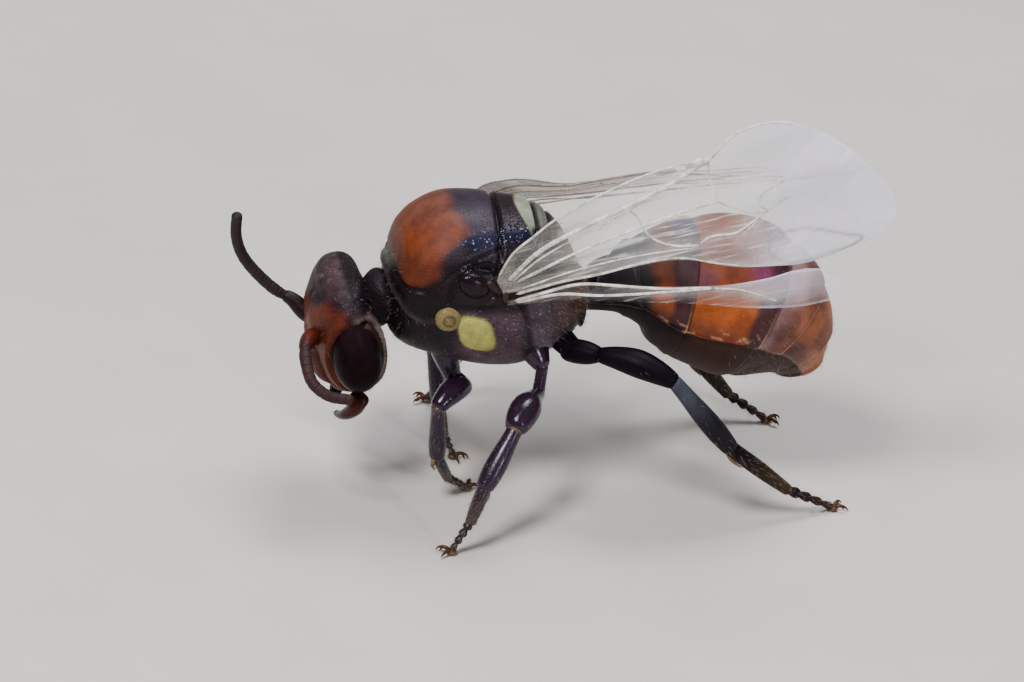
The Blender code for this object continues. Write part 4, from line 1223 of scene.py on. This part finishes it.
class BEE_OT_jaws(bpy.types.Operator):
    """Make the two jaws below the face"""

    bl_idname = "bee.jaws"
    bl_label = "Jaws"

    def execute(self, context):
        finish = shell_finish("jaw_finish", (0.2, 0.4), 0.4)
        for label, side in SIDES.items():
            path = from_head(np.array(JAW_PATH) * (1, side, 1))
            jaw = tube("jaw_" + label, path, JAW_RADII, 40, 60, 0.75)
            tip = edge(value_of(jaw, "Along") - 0.6, 0.2)
            paint(jaw, layered(colours().face * 0.3, ((0.012, 0.005, 0.004), tip)), 0.7, 0.3)
            finish_piece(jaw, finish, "mandible_" + label)
        return {"FINISHED"}


class BEE_OT_feelers(bpy.types.Operator):
    """Make the two feelers with stalk, elbow and ringed whip"""

    bl_idname = "bee.feelers"
    bl_label = "Feelers"

    def execute(self, context):
        tones = colours()
        finish = shell_finish("feeler_finish", (0.35, 0.65), 0.5, 0.2)
        for label, path in FEELERS.items():
            elbow, light, whip_tone = FEELER_LOOKS[label]
            stalk = tube("stalk", evenly(path, 9, 0, elbow), STALK_RADII, 36, 50, over=0.05)
            dark = 0.8 * edge(value_of(stalk, "Along") - 0.75, 0.25)
            # Painted shade: the stalk's face colour scaled by the feeler's brightness, dark on the far
            # feeler
            paint(stalk, layered(tones.face * light, (tones.dark, dark)), 0.6, 0.3)
            whip = tube("whip", evenly(path, 24, elbow, 1), self.ringed, 28, 330, over=0.04)
            ring = (value_of(whip, "Along") * FEELER_RINGS) % 1
            joint = bell(np.minimum(ring, 1 - ring), 0.07)
            paint(whip, layered(whip_tone, (tones.dark * 0.8, 0.45 * joint)), 0.4, 0.6)
            finish_piece(join("feeler_" + label, [stalk, whip]), finish, "antenna_" + label)
        return {"FINISHED"}

    def ringed(self, share):
        """Radius of the whip: slightly waisted rings that thin towards the tip."""
        ring = (share * FEELER_RINGS) % 1
        waist = 0.07 * bell(ring, 0.07) + 0.05 * bell(1 - ring, 0.05)
        root = 0.78 + 0.22 * edge(share - 0.06, 0.06)
        return WHIP_RADIUS * (1 - waist + 0.03 * ring) * root * (1 - 0.10 * share)


class BEE_OT_legs(bpy.types.Operator):
    """Make the six legs with ringed feet, spurs and claws"""

    bl_idname = "bee.legs"
    bl_label = "Legs"

    def execute(self, context):
        tones = colours()
        glossy = shell_finish("leg_finish", (0.14, 0.42), 0.5, 0.40, 0.0, (0.8, 0.8, 1.0))
        matt = shell_finish("hind_leg_finish", (0.30, 0.50), 0.5, 0.08, 0.0, (0.8, 0.8, 1.0))
        hooks = []
        for name, joints in LEGS.items():
            pair = name.split("_")[1]
            corners = np.array(joints)
            parts = []
            for number, radii in enumerate(LEG_RADII[pair]):
                start, end = corners[number], corners[number + 1]
                path = [start, (start + end) / 2, end]
                if number == TROCHANTER and pair == "hind":
                    path[0] = start + (start - end) * HIND_TROCHANTER_START
                if number == THIGH:
                    shares = np.linspace(0, 1, 5)[:, None]
                    path = start + (end - start) * shares + np.sin(np.pi * shares) * (0, 0, THIGH_ARCH)
                limb = tube("limb", path, radii, 36, 44, 0.92, LIMB_UP, LIMB_OVERLAP)
                parts.append(self.paint_limb(limb, number, pair, tones))
            parts += self.toes(corners[5], corners[6], LEG_RADII[pair][4][2], tones)
            parts.append(self.spur(corners[4], corners[5], LEG_LOOKS[pair][2], tones))
            finish_piece(join(name + "_shell", parts), matt if pair == "hind" else glossy, name)
            hooks += self.claws(corners[5], corners[6], tones)
        claw_finish = shell_finish("claw_finish", (0.2, 0.4), 0.2)
        finish_piece(join("claws", hooks), claw_finish, "leg_fore_left", False)
        return {"FINISHED"}

    def paint_limb(self, limb, number, pair, tones):
        """Violet-black at painted brightness, with a pale knee ring and a painted highlight on hind shins.
        """
        share = value_of(limb, "Along")
        bright, knee = LEG_LOOKS[pair][:2]
        pale = 0.8 * knee * edge(0.07 - share, 0.03) * (number == SHIN)
        heel = 0.7 * edge(share - 0.5, 0.5) * (number > SHIN)
        # Painted light and shade: the dark shell brighter on the fore and mid legs, darker on the hind
        # legs
        base = tones.dark * (1.1, 0.9, 1.5) * bright
        shades = layered(base, (tones.tan * 1.2, pale), (tones.tan * 0.35, heel))
        shine = 0.9 - 0.35 * (number >= SHIN)
        if pair == "hind":
            shine *= 0.2
            if number == SHIN:
                # Painted highlight: the hind shin blue-grey near the knee, near black further down
                lit = 1 - edge(share - 0.36, 0.3)
                shades = layered((0.010, 0.009, 0.012), ((0.046, 0.052, 0.074), lit))
        return paint(limb, shades, shine, 0.25 + 0.3 * (number >= SHIN))

    def toes(self, heel, toe, start_radius, tones):
        """Four small foot rings, each flared towards its end, and the pad under the claws."""
        rings = []
        for number in range(TOE_RINGS):
            low = heel + (toe - heel) * (number / TOE_RINGS * TOES_REACH)
            high = heel + (toe - heel) * ((number + TOE_LENGTH) / TOE_RINGS * TOES_REACH)
            radii = start_radius * (1 - 0.10 * number) * TOE_RADII
            ring = tube("toe", [low, (low + high) / 2, high], radii, 24, 18, 0.85, LIMB_UP)
            set_down(ring)
            rings.append(paint(ring, tones.dark * 0.9 + tones.tan * 0.04 * number, 0.4, 0.5))
        pad = ball("pad", (toe[0], toe[1], PAD_HALF[2]), PAD_HALF, 20, tones.tan * 0.6, 0.3, 0.4)
        return rings + [pad]

    def spur(self, ankle, heel, reach, tones):
        """A pale spur at the end of the shin."""
        away = unit(heel - ankle)
        drop = np.cross(away, unit(np.cross(away, (0, 0, 1))))
        drop *= -np.sign(drop[2])
        path = [
            ankle - away * 0.05 + drop * 0.08,
            ankle + away * reach * 0.5 + drop * 0.17,
            ankle + away * reach + drop * 0.16,
        ]
        return paint(tube("spur", path, SPUR_RADII, 12, 16), tones.tan * 1.5, 0.5, 0.1)

    def claws(self, heel, toe, tones):
        """Two forked tan claws at the toe."""
        away = unit((toe - heel) * (1, 1, 0))
        hooks = []
        for side in (LEFT, RIGHT):
            turn = np.array([away, np.cross(away, (0, 0, 1)) * side, (0, 0, 1)])
            for line, radii, detail in CLAW_LINES:
                hook = tube("claw", line @ turn + toe + away * 0.02, radii, *detail)
                set_down(hook)
                hooks.append(paint(hook, tones.tan * (0.4, 0.22, 0.2), 0.7, 0.1))
        return hooks


def wing_place(label, spots):
    """Bee places of spots on a wing, whose skin has gentle lengthwise folds and a slow wave."""
    wing = WINGS[label]
    along, across = spots.T
    wave = 0.028 * np.sin(9 * across / (0.35 + 0.22 * along)) + 0.05 * np.sin(1.1 * along + 0.9 * across)
    lift = wave * edge(along - 0.5, 0.5)
    share = edge(along - WING_TWIST_LENGTH / 2, WING_TWIST_LENGTH / 2)
    turn = np.radians(wing["lean_root"] + (wing["lean_out"] - wing["lean_root"]) * share)
    y = lift * np.cos(turn) - across * np.sin(turn)
    z = lift * np.sin(turn) + across * np.cos(turn)
    angle = math.radians(wing["angle"])
    x = math.cos(angle) * along - math.sin(angle) * z
    z = math.sin(angle) * along + math.cos(angle) * z
    pull = 1 - edge(along - WING_PULL_LENGTH / 2, WING_PULL_LENGTH / 2)
    return np.column_stack([x, y, z]) + wing["root"] + np.outer(pull, wing["pull"])


class BEE_OT_wings(bpy.types.Operator):
    """Make the four clear wings with their veins"""

    bl_idname = "bee.wings"
    bl_label = "Wings"

    def execute(self, context):
        membrane = membrane_finish("membrane_finish")
        horn = vein_finish("vein_finish")
        for label in WINGS:
            for kind, (lead, trail, veins, columns, rows) in WING_SHAPES.items():
                node = kind + "_" + label
                finish_piece(self.sheet(node + "_skin", kind, label), membrane, node)
                bars = [self.vein(label, *vein) for vein in veins]
                if kind == "forewing":
                    bars.append(self.stigma(label))
                finish_piece(join(node + "_veins", bars), horn, node)
        return {"FINISHED"}

    def sheet(self, name, kind, label):
        """The clear skin between a wing's two edges, pleated along the wing."""
        lead, trail, veins, columns, rows = WING_SHAPES[kind]
        sheet, shares = grid(name, columns, rows)
        front = evenly(lead, columns + 1)
        rear = evenly(trail, columns + 1)
        column = np.rint(shares[:, 0] * columns).astype(int)
        chord = front[column] - rear[column]
        spots = rear[column] + chord * shares[:, 1:]
        write(sheet, wing_place(label, spots))
        hem = np.minimum(shares[:, 1], 1 - shares[:, 1]) * np.linalg.norm(chord, axis=1)
        from_veins = [line_distance(spots, evenly(line, 30)) for start, end, line in veins]
        near = np.min(from_veins, axis=0)
        self.colour(sheet, kind, label, spots, shares[:, 1], hem, near)
        sew(sheet, sizes().membrane)
        return sheet

    def colour(self, sheet, kind, label, spots, share, hem, near):
        """Milky at the tip, along the veins and on the hem, with a dark fold and painted highlight
        creases.
        """
        tones = colours()
        far, high = spots.T
        root = edge(1.6 - far, 0.9)
        tip = edge(far - 4.6, 0.8)
        warm = bell(near, 0.09)
        if kind == "hindwing":
            cast = 0.03 + 0.08 * warm + 0.16 * edge(far - 3.9, 0.9)
            cast *= 0.3 + 0.7 * edge(share - 0.3, 0.3)
        elif label == "right":
            cast = 0.12 + 0.55 * edge(3.0 - far, 1.2)
        else:
            cast = 0.09 + 0.06 * root + 0.10 * warm + 0.46 * tip
        fold = bell(line_distance(spots, evenly(FORE_FOLD, 60)), 0.025)
        cast += 0.22 * bell(hem, 0.03) * edge(far - 3.8, 0.8) + 0.4 * fold
        # Painted highlights: the creases made paler and more opaque
        if kind == "forewing" and label == "left":
            for line in FORE_CREASES:
                cast += 0.5 * bell(line_distance(spots, evenly(line, 20)), 0.045)
        shades = layered(
            tones.clear,
            ((0.24, 0.22, 0.21), 0.75 * root),
            (tones.clear * (1.0, 0.98, 1.12), tip),
            ((0.20, 0.18, 0.17), 0.7 * fold),
        )
        # Painted highlight streaks, fewer on the hindwing and towards the tip
        streaky = WINGS[label]["streaks"] * (0.35 if kind == "hindwing" else 1.0) * (1 - 0.55 * tip)
        # Painted shade: the far wing's skin darkened by its tone
        paint(sheet, shades * WINGS[label]["tone"], cast, 0.0, streaky)
        keep(sheet, Far=far, High=high)

    def vein(self, label, start, end, line):
        """One tapering vein that follows the pleated skin."""
        tones = colours()
        radii = np.array([start, (start + end) / 2, end]) * WINGS[label]["fine"]
        bar = tube("vein", wing_place(label, evenly(line, 24)), radii, 10, 46, 0.9, VEIN_UP)
        root = 0.5 * edge(0.12 - value_of(bar, "Along"), 0.12)
        # Painted shade: the far wing's veins darkened by its tone
        return paint(bar, layered(tones.vein, (tones.tan * 0.8, root)) * WINGS[label]["tone"])

    def stigma(self, label):
        """The thicker spot on the leading edge."""
        path = wing_place(label, evenly(STIGMA_LINE, 12))
        spot = tube("stigma", path, STIGMA_RADII, 14, 24, 0.6, VEIN_UP)
        return paint(spot, colours().vein * 0.9, 0.6, 0.15)


def hair_shape():
    """Corners and faces of one three-sided hair along Z, wider at its root."""
    work = bmesh.new()
    bmesh.ops.create_cone(work, cap_ends=False, segments=3, radius1=1.0, radius2=0.12, depth=1.0)
    lengthwise = [line for line in work.edges if abs(line.verts[0].co.z - line.verts[1].co.z) > 0.5]
    bmesh.ops.subdivide_edges(work, edges=lengthwise, cuts=2)
    bmesh.ops.triangulate(work, faces=work.faces[:])
    work.verts.index_update()
    shape = np.array([vert.co for vert in work.verts])
    corners = np.array([[vert.index for vert in face.verts] for face in work.faces])
    work.free()
    return shape, corners


def hair_coat(slot, name, hosts, reach, finish):
    """Bent tapering hairs on several skins. hosts holds (object, shares, count, lie, column)."""
    shape, corners = hair_shape()
    rise = shape[:, 2] + 0.5
    width = (1 - 0.75 * rise[:, None]) * sizes().hair_width / MM / 2
    places = []
    spans = []
    for seed, (host, shares, count, lie, column) in enumerate(hosts):
        draw = np.random.default_rng(seed + 11)
        weights = np.clip(shares, 0, None)
        picked = draw.choice(len(weights), size=count, p=weights / weights.sum())
        roots = read(host)[picked]
        out = normals(host)[picked]
        lean = lie - out * (out @ lie)[:, None] + draw.normal(0, 0.25, out.shape)
        size = reach * draw.uniform(0.55, 1.15, count)
        side = unit(np.cross(out, lean + 1e-6))
        front = np.cross(side, out)
        bend = out[:, None] * (rise[:, None] * 0.75 - 0.06) + lean[:, None] * (rise[:, None] ** 2 * 0.8)
        girth = side[:, None] * shape[:, 0, None] + front[:, None] * shape[:, 1, None]
        places.append((roots[:, None] + bend * size[:, None, None] + girth * width).reshape(-1, 3))
        turn = value_of(host, "Round")[picked]
        far = value_of(host, "Along")[picked]
        low, high = column
        at = np.column_stack([low + (high - low) * (0.02 + 0.95 * turn), 0.01 + 0.97 * far])
        spread = np.column_stack([shape[:, 0] * 0.0012, rise * 0.003])
        spans.append((at[:, None] + spread).reshape(-1, 2))
    spots = np.maximum(np.concatenate(places), (-np.inf, -np.inf, 0.0))
    flat = np.concatenate(spans)
    first = np.arange(0, len(spots), len(shape))
    faces = (corners + first[:, None, None]).reshape(-1, 3)
    mesh = bpy.data.meshes.new(name)
    mesh.from_pydata(at_bee(spots).tolist(), [], faces.tolist())
    layer = mesh.uv_layers.new(name=COAT_MAP)
    layer.data.foreach_set("uv", flat[faces.ravel()].astype(np.float32).ravel())
    mesh.shade_smooth()
    coat = bpy.data.objects.new(name, mesh)
    bpy.context.scene.collection.objects.link(coat)
    finish_piece(coat, finish, slot, False)


class BEE_OT_hairs(bpy.types.Operator):
    """Grow the short pale hairs on cheeks, chest, abdomen tip and legs"""

    bl_idname = "bee.hairs"
    bl_label = "Hairs"

    def execute(self, context):
        size = sizes()
        reach = size.hair / MM
        finish = hair_finish("hair_finish")
        things = bpy.data.objects
        head, chest, tail = (things[name] for name in ("head_shell", "thorax_shell", "abdomen_plates"))
        local = to_head(read(head))
        x, y, z = mirrored(local).T
        cheeks = edge(x - 0.05, 0.1) * edge(0.7 - z, 0.3) + 0.25 * edge(0.3 - z, 0.3)
        cheeks *= eye_reach(local) > 0.08
        x, y, z = mirrored(read(chest)).T
        flank = edge(4.1 - z, 0.3) * 0.5 + edge(x - 1.35, 0.1) + 0.5 * edge(-1.1 - x, 0.1) + 0.03
        flank *= patch_depth(mirrored(read(chest))) < -0.03
        x, y, z = read(tail).T
        rear = (edge(x - 5.2, 0.8) + 0.04 * edge(3.2 - z, 0.3)) * (x >= 2.5)
        for slot, host, shares, count, lie, part in (
            ("head", head, cheeks, size.head_hairs, (0.3, 0, -1), 0.7),
            ("thorax", chest, flank, size.thorax_hairs, (0.8, 0, -0.5), 0.8),
            ("abdomen", tail, rear, size.abdomen_hairs, (0.6, 0, -0.8), 0.8),
        ):
            hair_coat(slot, slot + "_hairs", [(host, shares, count, lie, (0, 1))], reach * part, finish)
        hosts = []
        for number, (name, joints) in enumerate(LEGS.items()):
            leg = things[name + "_shell"]
            z = read(leg)[:, 2]
            low = (0.15 + edge(1.9 - z, 0.4)) * (z >= 0.12)
            lie = unit(np.subtract(joints[6], joints[3]))
            hosts.append((leg, low, size.leg_hairs, lie, (number / 6, (number + 0.9) / 6)))
        hair_coat("leg_mid_left", "leg_hairs", hosts, reach * 0.75, finish)
        return {"FINISHED"}


def add_lamp(name, place, size, watts, tint):
    """A soft round lamp that faces the bee; place and size in millimetres."""
    lamp = bpy.data.lights.new(name, "AREA")
    lamp.shape = "DISK"
    lamp.size = size * MM
    lamp.energy = watts
    lamp.color = tint
    holder = bpy.data.objects.new(name, lamp)
    bpy.context.scene.collection.objects.link(holder)
    holder.location = Vector(at_bee(place))
    towards = Vector(at_bee(LAMP_TARGET)) - holder.location
    holder.rotation_euler = towards.to_track_quat("-Z", "Y").to_euler()


class BEE_OT_stage(bpy.types.Operator):
    """Make the pale floor, the soft lamps and the camera"""

    bl_idname = "bee.stage"
    bl_label = "Stage"

    def execute(self, context):
        work = bmesh.new()
        bmesh.ops.create_grid(work, x_segments=8, y_segments=8, size=0.6)
        floor = link("floor", work)
        look = Finish("floor_finish")
        ground = look.mottled(look.flat(colours().floor), look.noise(0.35, 3.0), 0.97, 1.03)
        floor.data.materials.append(look.done({"Base Color": ground, "Roughness": 0.75}))
        world = bpy.data.worlds.new("studio")
        world.use_nodes = True
        background = world.node_tree.nodes["Background"]
        background.inputs["Color"].default_value = (0.95, 0.95, 1.0, 1.0)
        background.inputs["Strength"].default_value = 0.22
        context.scene.world = world
        add_lamp("key_lamp", (-45, -45, 95), 30, 0.15, (1.0, 0.97, 0.93))
        add_lamp("top_lamp", (30, 40, 120), 60, 0.14, (0.97, 0.97, 1.0))
        add_lamp("fill_lamp", (60, -110, 45), 12, 0.045, (1.0, 0.97, 0.94))
        self.camera(context)
        return {"FINISHED"}

    def camera(self, context):
        """The camera at the photograph's angle, with its slight roll."""
        around, height, roll = (math.radians(angle) for angle in (VIEW_AROUND, VIEW_HEIGHT, VIEW_ROLL))
        level = Vector((math.cos(around), math.sin(around), 0))
        ahead = Vector((-math.sin(around), math.cos(around), 0))
        rise = ahead * math.sin(height) + Vector((0, 0, math.cos(height)))
        back = Vector((0, 0, math.sin(height))) - ahead * math.cos(height)
        right = level * math.cos(roll) + rise * math.sin(roll)
        up = rise * math.cos(roll) - level * math.sin(roll)
        target = Vector(THORAX_MIDDLE) + right * VIEW_SHIFT[0] + up * VIEW_SHIFT[1]
        place = Vector(at_bee(target + back * VIEW_DISTANCE))
        camera = bpy.data.objects.new("camera", bpy.data.cameras.new("camera"))
        context.scene.collection.objects.link(camera)
        camera.data.sensor_width = SENSOR_WIDTH
        camera.data.lens = SENSOR_WIDTH * VIEW_DISTANCE / VIEW_WIDTH
        camera.data.clip_start = 0.01
        camera.data.clip_end = 5.0
        camera.matrix_world = Matrix.Translation(place) @ Matrix((right, up, back)).transposed().to_4x4()
        context.scene.camera = camera


class BEE_PT_panel(bpy.types.Panel):
    """Lists the bee's pieces and settings"""

    bl_idname = "BEE_PT_panel"
    bl_label = "Masked bee"
    bl_space_type = "VIEW_3D"
    bl_region_type = "UI"
    bl_category = "Bee"

    def draw(self, context):
        for group in (context.scene.bee_sizes, context.scene.bee_colours):
            box = self.layout.box()
            for name in group.__annotations__:
                box.prop(group, name)
        for operator in PIECES:
            self.layout.operator(operator.bl_idname)


PIECES = (
    BEE_OT_stage,
    BEE_OT_thorax,
    BEE_OT_abdomen,
    BEE_OT_head,
    BEE_OT_eyes,
    BEE_OT_jaws,
    BEE_OT_feelers,
    BEE_OT_legs,
    BEE_OT_wings,
    BEE_OT_hairs,
)
CLASSES = (BeeSizes, BeeColours, BEE_PT_panel, *PIECES)


def register():
    """Registers the classes and hangs the settings on the scene."""
    for entry in CLASSES:
        bpy.utils.register_class(entry)
    bpy.types.Scene.bee_sizes = PointerProperty(type=BeeSizes)
    bpy.types.Scene.bee_colours = PointerProperty(type=BeeColours)


def unregister():
    """Takes the settings and classes away again."""
    del bpy.types.Scene.bee_sizes
    del bpy.types.Scene.bee_colours
    for entry in reversed(CLASSES):
        bpy.utils.unregister_class(entry)


def main():
    """Makes every piece."""
    register()
    for operator in PIECES:
        group, name = operator.bl_idname.split(".")
        getattr(getattr(bpy.ops, group), name)()


if __name__ == "__main__":
    main()
